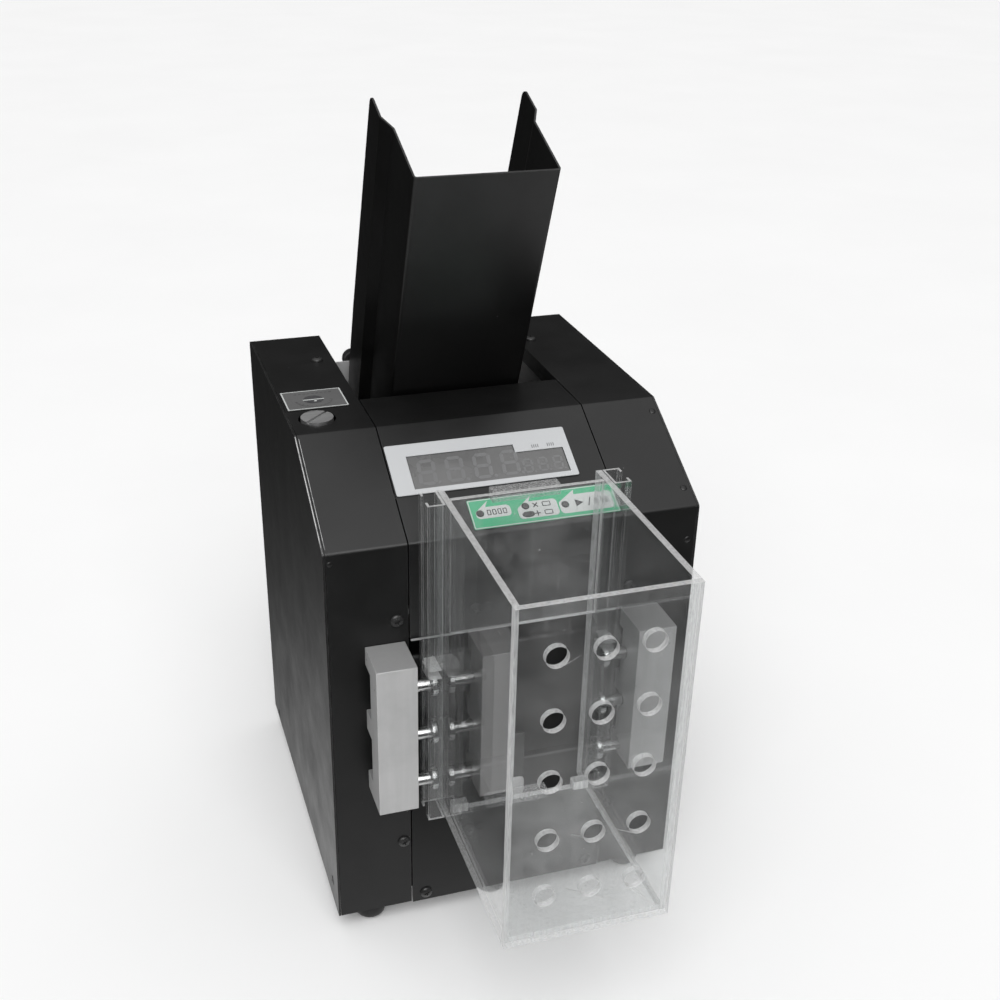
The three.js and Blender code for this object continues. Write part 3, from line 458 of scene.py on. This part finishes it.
def piece(name, mesh_parts, place, body, look, smooth=True):
    """One object from bmesh parts drawn in millimetres on a drawing plane."""
    whole = bmesh.new()
    for part in mesh_parts:
        scratch = bpy.data.meshes.new("scratch")
        part.to_mesh(scratch)
        part.free()
        whole.from_mesh(scratch)
        bpy.data.meshes.remove(scratch)
    bmesh.ops.transform(whole, matrix=place @ Matrix.Scale(MM, 4), verts=whole.verts)
    bmesh.ops.recalc_face_normals(whole, faces=whole.faces)
    mesh = bpy.data.meshes.new(name)
    whole.to_mesh(mesh)
    whole.free()
    if smooth:
        mesh.shade_smooth()
        mesh.set_sharp_from_angle(angle=SHARP_ABOVE)
    mesh.materials.append(look)
    made = bpy.data.objects.new(name, mesh)
    bpy.context.scene.collection.objects.link(made)
    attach(made, body)
    return made


def loft(rings, closed=False):
    """Skins rings of [x, y, z] points with equal counts; open lofts get flat caps."""
    mesh = bmesh.new()
    rows = [[mesh.verts.new(point) for point in ring] for ring in rings]
    count = len(rows[0])
    pairs = list(zip(rows, rows[1:]))
    if closed:
        pairs.append((rows[-1], rows[0]))
    for low, high in pairs:
        for i in range(count):
            j = (i + 1) % count
            mesh.faces.new((low[i], low[j], high[j], high[i]))
    if not closed:
        mesh.faces.new(rows[0][::-1])
        mesh.faces.new(rows[-1])
    return mesh


def prism(outline, low, high, ease=0.0):
    """Extrudes a flat outline of [x, y]; ease rounds its upper rim a little."""
    middle = Vector((sum(p[0] for p in outline), sum(p[1] for p in outline))) / len(outline)
    rings = [[(x, y, low) for x, y in outline], [(x, y, high - ease) for x, y in outline]]
    if ease:
        inner = [Vector(p).lerp(middle, min(0.4, ease / max((Vector(p) - middle).length, 0.1)))
                 for p in outline]
        rings.append([(p.x, p.y, high) for p in inner])
    return loft(rings)


def frame_ring(outer, inner, low, high):
    """A flat frame between two outlines with equal counts."""
    def ring(points, z):
        return [(x, y, z) for x, y in points]

    return loft([ring(outer, low), ring(outer, high), ring(inner, high), ring(inner, low)], True)


def circle(x, y, radius, count, z=None):
    """A circle's points, flat unless a height is given."""
    points = []
    for i in range(count):
        angle = 2 * math.pi * i / count
        points.append((x + radius * math.cos(angle), y + radius * math.sin(angle)))
    return points if z is None else [(u, v, z) for u, v in points]


def rounded_box(x0, y0, x1, y1, radius, steps=5):
    """A rectangle's outline between two corners, with rounded corners."""
    points = []
    corners = [(x1, y1, 0), (x0, y1, 90), (x0, y0, 180), (x1, y0, 270)]
    for x, y, start in corners:
        cx = x - radius if x == x1 else x + radius
        cy = y - radius if y == y1 else y + radius
        for k in range(steps + 1):
            angle = math.radians(start + 90 * k / steps)
            points.append((cx + radius * math.cos(angle), cy + radius * math.sin(angle)))
    return points


def inset(box, by):
    """A box of two corners, drawn in by the same distance on all sides."""
    x0, y0, x1, y1 = box
    return x0 + by, y0 + by, x1 - by, y1 - by


def around(x, y, half):
    """A box round x, y with the given half width and half height."""
    return x - half[0], y - half[1], x + half[0], y + half[1]


def border(box, outer_radius, width, inner_radius, low, high):
    """A flat border of even width along a box."""
    return frame_ring(rounded_box(*box, outer_radius),
                      rounded_box(*inset(box, width), inner_radius), low, high)


# ------------------------------------------------------------------ fasteners
SKIN = 0.02
SCREW_POINTS = 48


def cross_ring(arm, half, z):
    """A cross-shaped ring: four arms of the given length and half width."""
    points = []
    for i in range(SCREW_POINTS):
        angle = 2 * math.pi * i / SCREW_POINTS
        off = (angle + math.pi / 4) % (math.pi / 2) - math.pi / 4
        reach = min(arm / math.cos(off), half / max(abs(math.sin(off)), 1e-6))
        points.append((reach * math.cos(angle), reach * math.sin(angle), z))
    return points


def pan_screw(x, y, radius, height, spin):
    """A cross-recess pan head standing on the drawing plane at x, y."""
    rim = 0.35  # share of the height at which the dome starts
    rings = [circle(0, 0, radius, SCREW_POINTS, z) for z in (SKIN, height * rim)]
    for share in (0.93, 0.78, 0.58):
        rise = height * (rim + (1 - rim) * math.sqrt(1 - share ** 2))
        rings.append(circle(0, 0, radius * share, SCREW_POINTS, rise))
    rings.append(cross_ring(radius * 0.46, radius * 0.12, height))
    rings.append(cross_ring(radius * 0.40, radius * 0.09, height * rim))
    mesh = loft(rings)
    turn = Matrix.Translation((x, y, 0)) @ Matrix.Rotation(spin, 4, "Z")
    bmesh.ops.transform(mesh, matrix=turn, verts=mesh.verts)
    return mesh


def cover_screws():
    """Black pan heads on the covers, the lower plate and the rear."""
    radius, height = 4.3, 2.2
    groups = {
        "front_cover_screws": (FRONT, [(-79.3, 253.8), (79.3, 253.8), (-76.8, 73), (76.8, 73)]),
        "lower_plate_screws": (FRONT, [(-61, 22), (61, 22)]),
        "top_cover_screws": (TOP, [(-84, 78), (82, 80)]),
        "rear_panel_screws": (REAR, [(-64, 40), (64, 40), (-64, 300), (64, 300)]),
        "rear_cover_screws": (REAR, [(-84, 60), (84, 60), (-84, 310), (84, 310)]),
    }
    for name, (plane, spots) in groups.items():
        heads = [pan_screw(x, y, radius, height, 0.35 + 0.8 * i)
                 for i, (x, y) in enumerate(spots)]
        piece(name, heads, plane, "cabinet", BLACK_SCREW)


def side_screws():
    """Flat heads low on the outer panels, nearly flush."""
    radius, height = 3.6, 0.4
    for name, plane, turn in (("left_panel_screws", LEFT, -1), ("right_panel_screws", RIGHT, 1)):
        spots = [(turn * y, z) for y, z in ((110.7, 21.5), (-115, 32.5))]
        heads = [pan_screw(x, y, radius, height, 0.5 * i) for i, (x, y) in enumerate(spots)]
        piece(name, heads, plane, "cabinet", BLACK_SCREW)


def hexagon_ring(across, x, count):
    """A hexagon with the given flat-to-flat width, as a ring round the X axis."""
    points = []
    for i in range(count):
        angle = 2 * math.pi * i / count
        off = (angle + math.pi / 6) % (math.pi / 3) - math.pi / 6
        reach = across / 2 / math.cos(off)
        points.append((x, reach * math.cos(angle), reach * math.sin(angle)))
    return points


def round_ring(radius, x, count, knurl=0.0):
    """A ring round the X axis, with every other point drawn in where it is knurled."""
    points = []
    for i in range(count):
        angle = 2 * math.pi * i / count
        reach = radius - (knurl if i % 2 else 0.0)
        points.append((x, reach * math.cos(angle), reach * math.sin(angle)))
    return points


CAP_HEAD_HEIGHT, CAP_SHANK_RADIUS = 4.5, 4.0
HEX_ACROSS, HEX_DEPTH = 6.2, 2.6
THREAD_STEP, THREAD_DEEP, THREAD_SHALLOW = 0.55, 0.4, 0.05


def cap_screw_mesh(head_radius, shank_length):
    """A thick round-headed screw on the X axis: hexagon socket at x = 0, head, then shank."""
    count = 60
    head, shank = CAP_HEAD_HEIGHT, CAP_SHANK_RADIUS
    rings = [hexagon_ring(HEX_ACROSS, HEX_DEPTH, count), hexagon_ring(HEX_ACROSS + 0.2, 0.0, count)]
    profile = [(head_radius - 2.2, 0.0), (head_radius - 0.9, 0.25), (head_radius - 0.25, 0.8),
               (head_radius, 1.4), (head_radius, head - 0.5), (head_radius - 0.4, head),
               (shank + 0.6, head), (shank, head + 0.6)]
    rings += [round_ring(radius, x, count) for radius, x in profile]
    thread_start = head + shank_length * 0.55
    rings.append(round_ring(shank, thread_start, count))
    for i in range(int((head + shank_length - thread_start - 1) / THREAD_STEP)):
        depth = THREAD_DEEP if i % 2 else THREAD_SHALLOW
        rings.append(round_ring(shank - depth, thread_start + 0.6 + THREAD_STEP * i, count))
    return loft(rings)


def rail_screws():
    """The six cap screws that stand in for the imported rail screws."""
    for side in ("left", "right"):
        for number in (1, 2, 3):
            node = f"{side}_rail_screw_{number}"
            low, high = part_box(node)
            inner = high.x if side == "left" else low.x
            place = Matrix.Translation((inner, (low.y + high.y) / 2, (low.z + high.z) / 2))
            if side == "left":
                place = place @ Matrix.Rotation(math.pi, 4, "Z")
            length = (high.x - low.x) / MM
            mesh = cap_screw_mesh((high.z - low.z) / 2 / MM, length - CAP_HEAD_HEIGHT)
            made = piece(f"{side}_cap_screw_{number}", [mesh], place, "cabinet",
                         MATERIALS["bright_steel"])
            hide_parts(node)


def knob_mesh(radius, thick, bore):
    """A knurled thumb knob on the Y axis, with a stepped face and a bore."""
    count = 96
    profile = [(bore, 0), (radius - 0.8, 0), (radius, 0.7), (radius, thick - 1.6),
               (radius - 0.9, thick - 0.7), (radius * 0.62, thick - 0.7), (radius * 0.55, thick),
               (bore + 0.5, thick), (bore, thick - 0.5)]
    rings = []
    for r, y in profile:
        knurl = 0.45 if r == radius else 0.0
        ring = round_ring(r, y, count, knurl)
        rings.append([(-v, x, w) for x, v, w in ring])
    return loft(rings, True)


def thumb_knobs():
    """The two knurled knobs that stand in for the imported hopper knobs."""
    bore = 2.9
    for side in ("left", "right"):
        node = f"hopper_knob_{side}"
        low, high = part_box(node)
        at = Matrix.Translation(((low.x + high.x) / 2, low.y, (low.z + high.z) / 2))
        mesh = knob_mesh((high.x - low.x) / 2 / MM, (high.y - low.y) / MM, bore)
        made = piece(f"thumb_knob_{side}", [mesh], at, node, MATERIALS["black_plastic"])
        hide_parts(node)


# ------------------------------------------------------------------ display and key label
def segment(x0, y0, x1, y1, half):
    """One bar of a digit: a long hexagon between two points."""
    along = Vector((x1 - x0, y1 - y0)).normalized()
    across = Vector((-along.y, along.x)) * half
    start, end = Vector((x0, y0)) + along * 0.25, Vector((x1, y1)) - along * 0.25
    tip = along * half
    points = [start, start + tip - across, end - tip - across, end, end - tip + across,
              start + tip + across]
    return [(p.x, p.y) for p in points]


def digit(x, y, width, height, half):
    """The seven bars and the point of one digit, leaning slightly, from its lower left corner."""
    middle = height / 2
    bars = [(0, 0, width, 0), (0, middle, width, middle), (0, height, width, height),
            (0, 0, 0, middle), (width, 0, width, middle),
            (0, middle, 0, height), (width, middle, width, height)]
    lean = 0.08
    outlines = []
    for x0, y0, x1, y1 in bars:
        outlines.append([(x + u + lean * v, y + v) for u, v in segment(x0, y0, x1, y1, half)])
    outlines.append(circle(x + width + 2.2 * half, y, half, 12))
    return outlines


GLASS_TOP, BEZEL_TOP = 0.5, 1.1
LARGE_DIGITS = {"count": 4, "x": -52.4, "y": 42.6, "pitch": 18.6, "size": (9.6, 17.6), "half": 1.25}
SMALL_DIGITS = {"count": 3, "x": 17.0, "y": 42.2, "pitch": 10.4, "size": (5.4, 9.8), "half": 0.75}
TICK = {"starts": (26.6, 37.4), "count": 4, "pitch": 1.35, "width": 0.45, "y": (60.4, 63.0)}


def box_outline(x0, y0, x1, y1):
    """A rectangle's outline between two corners."""
    return [(x0, y0), (x1, y0), (x1, y1), (x0, y1)]


def digit_row(row):
    """The unlit bars of a row of digits, just above the window."""
    outlines = []
    for i in range(row["count"]):
        outlines += digit(row["x"] + row["pitch"] * i, row["y"], *row["size"], row["half"])
    return [prism(outline, GLASS_TOP + 0.01, GLASS_TOP + 0.07) for outline in outlines]


def display_details():
    """The two rows of digits, and groups of ticks printed on the bezel."""
    for name, row in (("large_digits", LARGE_DIGITS), ("small_digits", SMALL_DIGITS)):
        piece(name, digit_row(row), SLOPE, "cabinet", LED_OFF, smooth=False)
    ticks = []
    low, high = TICK["y"]
    for start in TICK["starts"]:
        for i in range(TICK["count"]):
            x = start + TICK["pitch"] * i
            ticks.append(prism(box_outline(x, low, x + TICK["width"], high), BEZEL_TOP,
                               BEZEL_TOP + 0.04))
    piece("bezel_ticks", ticks, SLOPE, "cabinet", PRINT_DARK, smooth=False)


def bubble(x0, y0, x1, y1, radius, tip, foot):
    """A rounded panel with a pointer that rises from its left end and the top at foot to tip."""
    outline = rounded_box(x0, y0, x1, y1, radius)
    upper_right = [p for p in outline if p[0] > (x0 + x1) / 2 and p[1] > (y0 + y1) / 2]
    lower = [p for p in outline if p[1] < (y0 + y1) / 2]
    shoulder = (x0 + 0.4, y0 + (y1 - y0) * 0.66)
    return upper_right + [(foot, y1), tip, shoulder, (x0, y0 + (y1 - y0) * 0.55)] + lower


def evenly(outline, count):
    """The same closed outline with a given count of points at equal steps along it."""
    ends = outline[1:] + outline[:1]
    lengths = [math.dist(p, q) for p, q in zip(outline, ends)]
    step = sum(lengths) / count
    points, walked, side = [], 0.0, 0
    for i in range(count):
        while walked + lengths[side] < i * step and side < len(outline) - 1:
            walked += lengths[side]
            side += 1
        share = min(1.0, (i * step - walked) / lengths[side])
        points.append(tuple(Vector(outline[side]).lerp(Vector(ends[side]), share)))
    return points


def half_panel(outline, level, keep_upper):
    """The part of a convex-sided panel above or below a level line."""
    kept = [p for p in outline if (p[1] > level + 0.01) == keep_upper]
    left, right = min(p[0] for p in outline), max(p[0] for p in outline)
    cut = [(left, level), (right, level)]
    return kept + cut if keep_upper else cut[::-1] + kept


def ring_around(key, outline, low, high):
    """A flat panel with a round hole for a key, built as a frame between two rings."""
    cx, cy, radius, stretch = key
    outer, inner = evenly(outline, 120), []
    for x, y in outer:
        angle = math.atan2(y - cy, x - cx)
        u = math.cos(angle) * radius
        inner.append((cx + u + stretch * u / radius, cy + math.sin(angle) * radius))
    return frame_ring(outer, inner, low, high)


LABEL_TOP = 0.7
LABEL_BOX = (-27.3, 3.8, 70.1, 25.4)
LABEL_SPLIT = 13.1
BATCH_PANEL = bubble(-24.0, 10.9, -0.8, 19.4, 2.8, (-14.3, 24.0), -16.8)
START_PANEL = bubble(31.4, 6.9, 68.0, 20.6, 3.0, (44.0, 24.3), 43.0)
CLEAR_PANEL = half_panel(bubble(3.4, 6.9, 30.4, 19.5, 2.6, (14.5, 24.1), 12.2), LABEL_SPLIT, True)
ADD_PANEL = half_panel(rounded_box(3.4, 6.9, 30.4, 16, 2.6), LABEL_SPLIT, False)
KEYS = [((-21.2, 15.0, 2.6, 0), BATCH_PANEL), ((35.5, 13.8, 2.6, 0), START_PANEL),
        ((9.2, 16.3, 2.6, 0), CLEAR_PANEL), ((9.7, 9.9, 2.2, 2.0), ADD_PANEL)]


def key_label():
    """White print on the green label: a border line and a panel round each key."""
    low, high = LABEL_TOP + 0.005, LABEL_TOP + 0.045
    piece("label_border", [border(LABEL_BOX, 0.8, 0.6, 0.6, low, high)], SLOPE, "cabinet",
          PRINT_WHITE, smooth=False)
    panels = [ring_around(key, outline, low, high) for key, outline in KEYS]
    piece("key_panels", panels, SLOPE, "cabinet", PRINT_WHITE, smooth=False)
    label_signs()


def slanted_bar(x, y, length, half, angle):
    """A straight bar centred on x, y and turned by angle, as an outline."""
    along = Vector((math.cos(angle), math.sin(angle)))
    across = Vector((-along.y, along.x)) * half
    middle = Vector((x, y))
    ends = (middle - along * length / 2, middle + along * length / 2)
    points = [ends[0] - across, ends[1] - across, ends[1] + across, ends[0] + across]
    return [(p.x, p.y) for p in points]


def card_sign(x, y, width, height, low, high):
    """The outline of one card, from its lower left corner."""
    return border((x, y, x + width, y + height), 0.6, 0.6, 0.25, low, high)


def crossed_bars(x, y, length, turns, low, high):
    """Two bars that cross at x, y; the second tops the first by a hair, so no faces coincide."""
    bars = []
    for turn in turns:
        outline = slanted_bar(x, y, length, 0.4, math.radians(turn))
        bars.append(prism(outline, low, high + 0.0001 * turn))
    return bars


def label_signs():
    """Plain signs beside the keys: four cards, clear, add, and start with stop."""
    low, high = LABEL_TOP + 0.05, LABEL_TOP + 0.08
    signs = [card_sign(-16.6 + 3.5 * i, 12.9, 2.6, 4.2, low, high) for i in range(4)]
    signs += crossed_bars(15.8, 16.3, 4.4, (45, 135), low, high)
    signs += crossed_bars(15.8, 9.9, 4.0, (0, 90), low, high)
    signs += [card_sign(20.4, y, 5.6, 3.6, low, high) for y in (14.5, 8.1)]
    signs.append(prism([(42.5, 11.0), (48.0, 13.8), (42.5, 16.6)], low, high))
    signs.append(prism(slanted_bar(52.0, 13.8, 6.6, 0.35, math.radians(68)), low, high))
    signs += [prism(slanted_bar(x, 13.8, 5.2, 0.75, math.pi / 2), low, high) for x in (57, 60.4)]
    piece("label_signs", signs, SLOPE, "cabinet", PRINT_DARK, smooth=False)


# ------------------------------------------------------------------ dial plate
def arc_band(x, y, radius, half, start, end, low, high):
    """A flat curved band, for a scale line."""
    count = 28

    def arc(r):
        step = (end - start) / count
        return [(x + r * math.cos(start + step * i), y + r * math.sin(start + step * i))
                for i in range(count + 1)]

    outline = arc(radius + half) + arc(radius - half)[::-1]
    mesh = bmesh.new()
    layers = [[mesh.verts.new((u, v, z)) for u, v in outline] for z in (low, high)]
    total = len(outline)
    for i in range(total):
        j = (i + 1) % total
        mesh.faces.new((layers[0][i], layers[0][j], layers[1][j], layers[1][i]))
    for i in range(count):
        for layer in layers:
            mesh.faces.new((layer[i], layer[i + 1], layer[total - 2 - i], layer[total - 1 - i]))
    return mesh


def half_disc(x, y, radius, level, end):
    """The part of a disc beyond a level line above (end 1) or below (end -1) its middle."""
    start = math.asin(level / radius)
    angles = [start + (math.pi - 2 * start) * i / 24 for i in range(25)]
    return [(x + radius * math.cos(a), y + end * radius * math.sin(a)) for a in angles]


DIAL_MARK = (-101.4, 2.2)
DIAL_ARC = {"radius": 12.6, "half": 0.3, "from": 188, "to": 352}
DIAL_TICKS = {"count": 11, "from": 190, "step": 16, "inner": 10.9, "outer": 12.3, "half": 0.22}
DIAL_DASHES = {"count": 9, "x": -113, "pitch": 3.0, "width": 1.9, "y": (12.6, 13.7)}


def dial_scale(low, high):
    """The scale's arc with its ticks, and a row of dashes above it."""
    cx, cy = DIAL_MARK
    arc, tick, dash = DIAL_ARC, DIAL_TICKS, DIAL_DASHES
    parts = [arc_band(cx, cy, arc["radius"], arc["half"], math.radians(arc["from"]),
                      math.radians(arc["to"]), low, high)]
    middle = (tick["inner"] + tick["outer"]) / 2
    for k in range(tick["count"]):
        angle = math.radians(tick["from"] + tick["step"] * k)
        parts.append(prism(slanted_bar(cx + middle * math.cos(angle), cy + middle * math.sin(angle),
                                       tick["outer"] - tick["inner"], tick["half"], angle),
                           low, high))
    for k in range(dash["count"]):
        x = dash["x"] + dash["pitch"] * k
        parts.append(prism(box_outline(x, dash["y"][0], x + dash["width"], dash["y"][1]), low, high))
    return parts


def dial_print():
    """The print on the dial's plate: a rim line, a round mark crossed by a bar, and a scale."""
    plate_low, plate_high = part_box("dial_plate")
    box = (plate_low.x / MM, (plate_low.y - MID_Y) / MM,
           plate_high.x / MM, (plate_high.y - MID_Y) / MM)
    base = (plate_high.z - TOP_Z) / MM
    low, high = base + 0.005, base + 0.04
    cx, cy = DIAL_MARK
    rim = border(inset(box, 0.2), 0.6, 0.9, 0.4, low, high)
    halves = [prism(half_disc(cx, cy, 7.0, 0.9, end), low, high) for end in (1, -1)]
    bar = prism(slanted_bar(cx, cy, 14.4, 0.6, 0.0), low, high)
    dot = prism(circle(cx + 0.8, cy - 3.0, 1.0, 20), high + 0.01, high + 0.03)
    prints = {"dial_plate_rim": ([rim], PRINT_WHITE), "dial_mark": (halves, PRINT_DARK),
              "dial_mark_bar": ([bar, dot], PRINT_WHITE),
              "dial_scale": (dial_scale(low, high), PRINT_GREY)}
    for name, (parts, look) in prints.items():
        piece(name, parts, TOP, "cabinet", look, smooth=False)


# ------------------------------------------------------------------ trims on the cabinet
COVER_LIP = (-70.5, 237.2, 70.5, 238.6)
FINGER_STEM = (0.4, 113, 8.6, 151)
PAD_MIDDLE, PAD_HALF, PAD_CORNER = (3.8, 106), (5.4, 8), 4
PAD_SECTIONS = ((0.4, 0.8), (1.2, 1.0), (3.4, 1.0), (4.6, 0.85), (5.0, 0.55))
LARGE_RIVET, SMALL_RIVET = (2.3, 0.7), (1.8, 0.5)


def finger_pad():
    """A cushioned pad, lofted through sections that give a height and a share of full size."""
    rings = []
    x, y = PAD_MIDDLE
    for z, share in PAD_SECTIONS:
        box = around(0, 0, (PAD_HALF[0] * share, PAD_HALF[1] * share))
        outline = rounded_box(*box, PAD_CORNER * share, 7)
        rings.append([(u + x, v + y, z) for u, v in outline])
    return loft(rings)


def front_trims():
    """The pale lip under the centre cover, and the stop finger below it with its soft pad."""
    lip = prism(rounded_box(*COVER_LIP, 0.5), 0.02, 0.45, 0.15)
    stem = prism(rounded_box(*FINGER_STEM, 1.0), 0.4, 3.0, 0.4)
    piece("centre_cover_edge", [lip], FRONT, "cabinet", LIP_GREY)
    piece("stop_finger", [stem], FRONT, "cabinet", MATERIALS["black_plastic"])
    piece("stop_finger_pad", [finger_pad()], FRONT, "cabinet", PAD_GREY)


def slope_trims():
    """Low painted rivets on the covers, and two pale broken lines along the slope's left edge."""
    slope_heads = [pan_rivet(119.5, 80, *LARGE_RIVET), pan_rivet(119.0, 15, *LARGE_RIVET)]
    front_heads = [pan_rivet(118.5, 283, *LARGE_RIVET), pan_rivet(-120.6, 300.5, *SMALL_RIVET)]
    for name, heads, plane in (("slope_rivets", slope_heads, SLOPE),
                               ("front_rivet", front_heads, FRONT)):
        piece(name, heads, plane, "cabinet", MATERIALS["black_coat"])
    # Two pale broken lines along the slope's left edge.
    outer = box_outline(-124.75, 1.5, -124.15, SLOPE_LENGTH - 1)
    inner = box_outline(-122.6, 4.0, -122.3, SLOPE_LENGTH - 3)
    wear = [prism(outer, 0.01, 0.05), prism(inner, 0.01, 0.04)]
    piece("slope_edge_lines", wear, SLOPE, "cabinet", PALE_EDGE_LINES, smooth=False)


def pan_rivet(x, y, radius, height):
    """A low domed head standing on the drawing plane at x, y."""
    rings = [circle(x, y, radius, 28, SKIN)]
    for share in (0.92, 0.75, 0.5, 0.2):
        rings.append(circle(x, y, radius * share, 28, height * math.sqrt(1 - share ** 2)))
    return loft(rings)


GUSSET = {"wide": 11, "y": (-7.2, -0.4), "high": 6.5}


def box_gussets():
    """Small clear blocks glued into the rear corners of the box floor."""
    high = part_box("box_floor")[1]
    corner = Matrix.Translation((0, high.y, high.z))
    edge = abs(high.x) / MM - 0.2
    for side, turn in (("left", -1), ("right", 1)):
        x0, x1 = sorted((turn * edge, turn * (edge - GUSSET["wide"])))
        outline = rounded_box(x0, GUSSET["y"][0], x1, GUSSET["y"][1], 0.5)
        piece(f"box_gusset_{side}", [prism(outline, 0.05, GUSSET["high"], 0.4)], corner,
              "card_box", ACRYLIC_Z)


PIN = {"spots": ((-7, -1.6), (0, 2.4), (7, -1.6)), "half": (1.1, 2.4), "z": (-12.0, -1.5)}
SWITCH_RIM = {"half": (11.6, 15.2), "width": 2.1, "height": 1.6}


def middle_on_rear(node):
    """The middle of a node's box, in the rear drawing plane."""
    low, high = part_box(node)
    return -(low.x + high.x) / 2 / MM, (low.z + high.z) / 2 / MM


def rear_details():
    """Connector pins in the inlet, and a raised rim round the rocker."""
    x, y = middle_on_rear("power_inlet")
    boxes = [around(x + dx, y + dy, PIN["half"]) for dx, dy in PIN["spots"]]
    pins = [prism(rounded_box(*box, 0.4), *PIN["z"], 0.5) for box in boxes]
    piece("inlet_pins", pins, REAR, "cabinet", MATERIALS["bright_steel"])
    box = around(*middle_on_rear("power_switch"), SWITCH_RIM["half"])
    rim = border(box, 1.6, SWITCH_RIM["width"], 0.6, 0.05, SWITCH_RIM["height"])
    piece("switch_rim", [rim], REAR, "cabinet", MATERIALS["black_plastic"])


# ------------------------------------------------------------------ floor and light
FLOOR_HALF = 40
KEY_LIGHT = {"from": (-0.20, -0.67, 0.71), "power": 2.45, "spread": 55}
BACKDROP = 0.95
# How bright the room is at each height: -1 straight down, 0 level, 1 straight up.
ROOM = [(-1.0, 0.85), (-0.66, 0.80), (-0.57, 0.40), (-0.50, 0.12), (-0.40, 0.03), (0.0, 0.03),
        (0.35, 0.03), (0.55, 0.07), (0.82, 0.85), (1.0, 1.2)]


def make_stage():
    """A pale floor that the glossy faces don't mirror; the room's own lower half stands in."""
    mesh = bmesh.new()
    bmesh.ops.create_grid(mesh, x_segments=1, y_segments=1, size=FLOOR_HALF)
    data = bpy.data.meshes.new("floor")
    mesh.to_mesh(data)
    mesh.free()
    floor = bpy.data.objects.new("floor", data)
    s = Shader("floor_white")
    tone = s.mix(s.ramp(s.noise(3), 0.0, 1.0), grey(0.90), grey(0.92))
    data.materials.append(s.done(s.surface(tone, 0.7)))
    floor.visible_glossy = False
    bpy.context.scene.collection.objects.link(floor)


def soft_sun(name, direction, power, spread):
    """A sun that shines from a direction, softened over an angle in degrees."""
    data = bpy.data.lights.new(name, "SUN")
    data.energy = power
    data.angle = math.radians(spread)
    light = bpy.data.objects.new(name, data)
    light.matrix_world = Vector(direction).to_track_quat("Z", "Y").to_matrix().to_4x4()
    bpy.context.scene.collection.objects.link(light)


def room_brightness(tree):
    """The room's brightness by height, as a socket of the world's node tree."""
    place = tree.nodes.new("ShaderNodeTexCoord")
    parts = tree.nodes.new("ShaderNodeSeparateXYZ")
    rise = tree.nodes.new("ShaderNodeMapRange")
    ramp = tree.nodes.new("ShaderNodeValToRGB")
    rise.inputs["From Min"].default_value = -1.0
    tree.links.new(place.outputs["Generated"], parts.inputs[0])
    tree.links.new(parts.outputs["Z"], rise.inputs["Value"])
    tree.links.new(rise.outputs[0], ramp.inputs[0])
    elements = ramp.color_ramp.elements
    for height, value in ROOM[1:-1]:
        elements.new((height + 1) / 2).color = grey(value)
    elements[0].color = grey(ROOM[0][1])
    elements[-1].color = grey(ROOM[-1][1])
    return ramp.outputs[0]


def make_lights():
    """A soft key from the upper front, and a room that is bright overhead and dark low down.

    The camera itself sees a pale backdrop; the room shows only in light and reflections.
    """
    soft_sun("key", KEY_LIGHT["from"], KEY_LIGHT["power"], KEY_LIGHT["spread"])
    world = bpy.data.worlds.new("studio")
    world.use_nodes = True
    tree = world.node_tree
    path = tree.nodes.new("ShaderNodeLightPath")
    seen = tree.nodes.new("ShaderNodeMix")
    seen.data_type = "RGBA"
    tree.links.new(path.outputs["Is Camera Ray"], seen.inputs["Factor"])
    tree.links.new(room_brightness(tree), seen.inputs["A"])
    seen.inputs["B"].default_value = grey(BACKDROP)
    tree.links.new(seen.outputs["Result"], tree.nodes["Background"].inputs["Color"])
    bpy.context.scene.world = world
    bpy.context.scene.view_settings.view_transform = "Standard"
    bpy.context.scene.cycles.transparent_max_bounces = 48


make_camera()
finish_cad_nodes()
cover_screws()
side_screws()
rail_screws()
thumb_knobs()
display_details()
key_label()
dial_print()
front_trims()
slope_trims()
box_gussets()
rear_details()
make_stage()
make_lights()
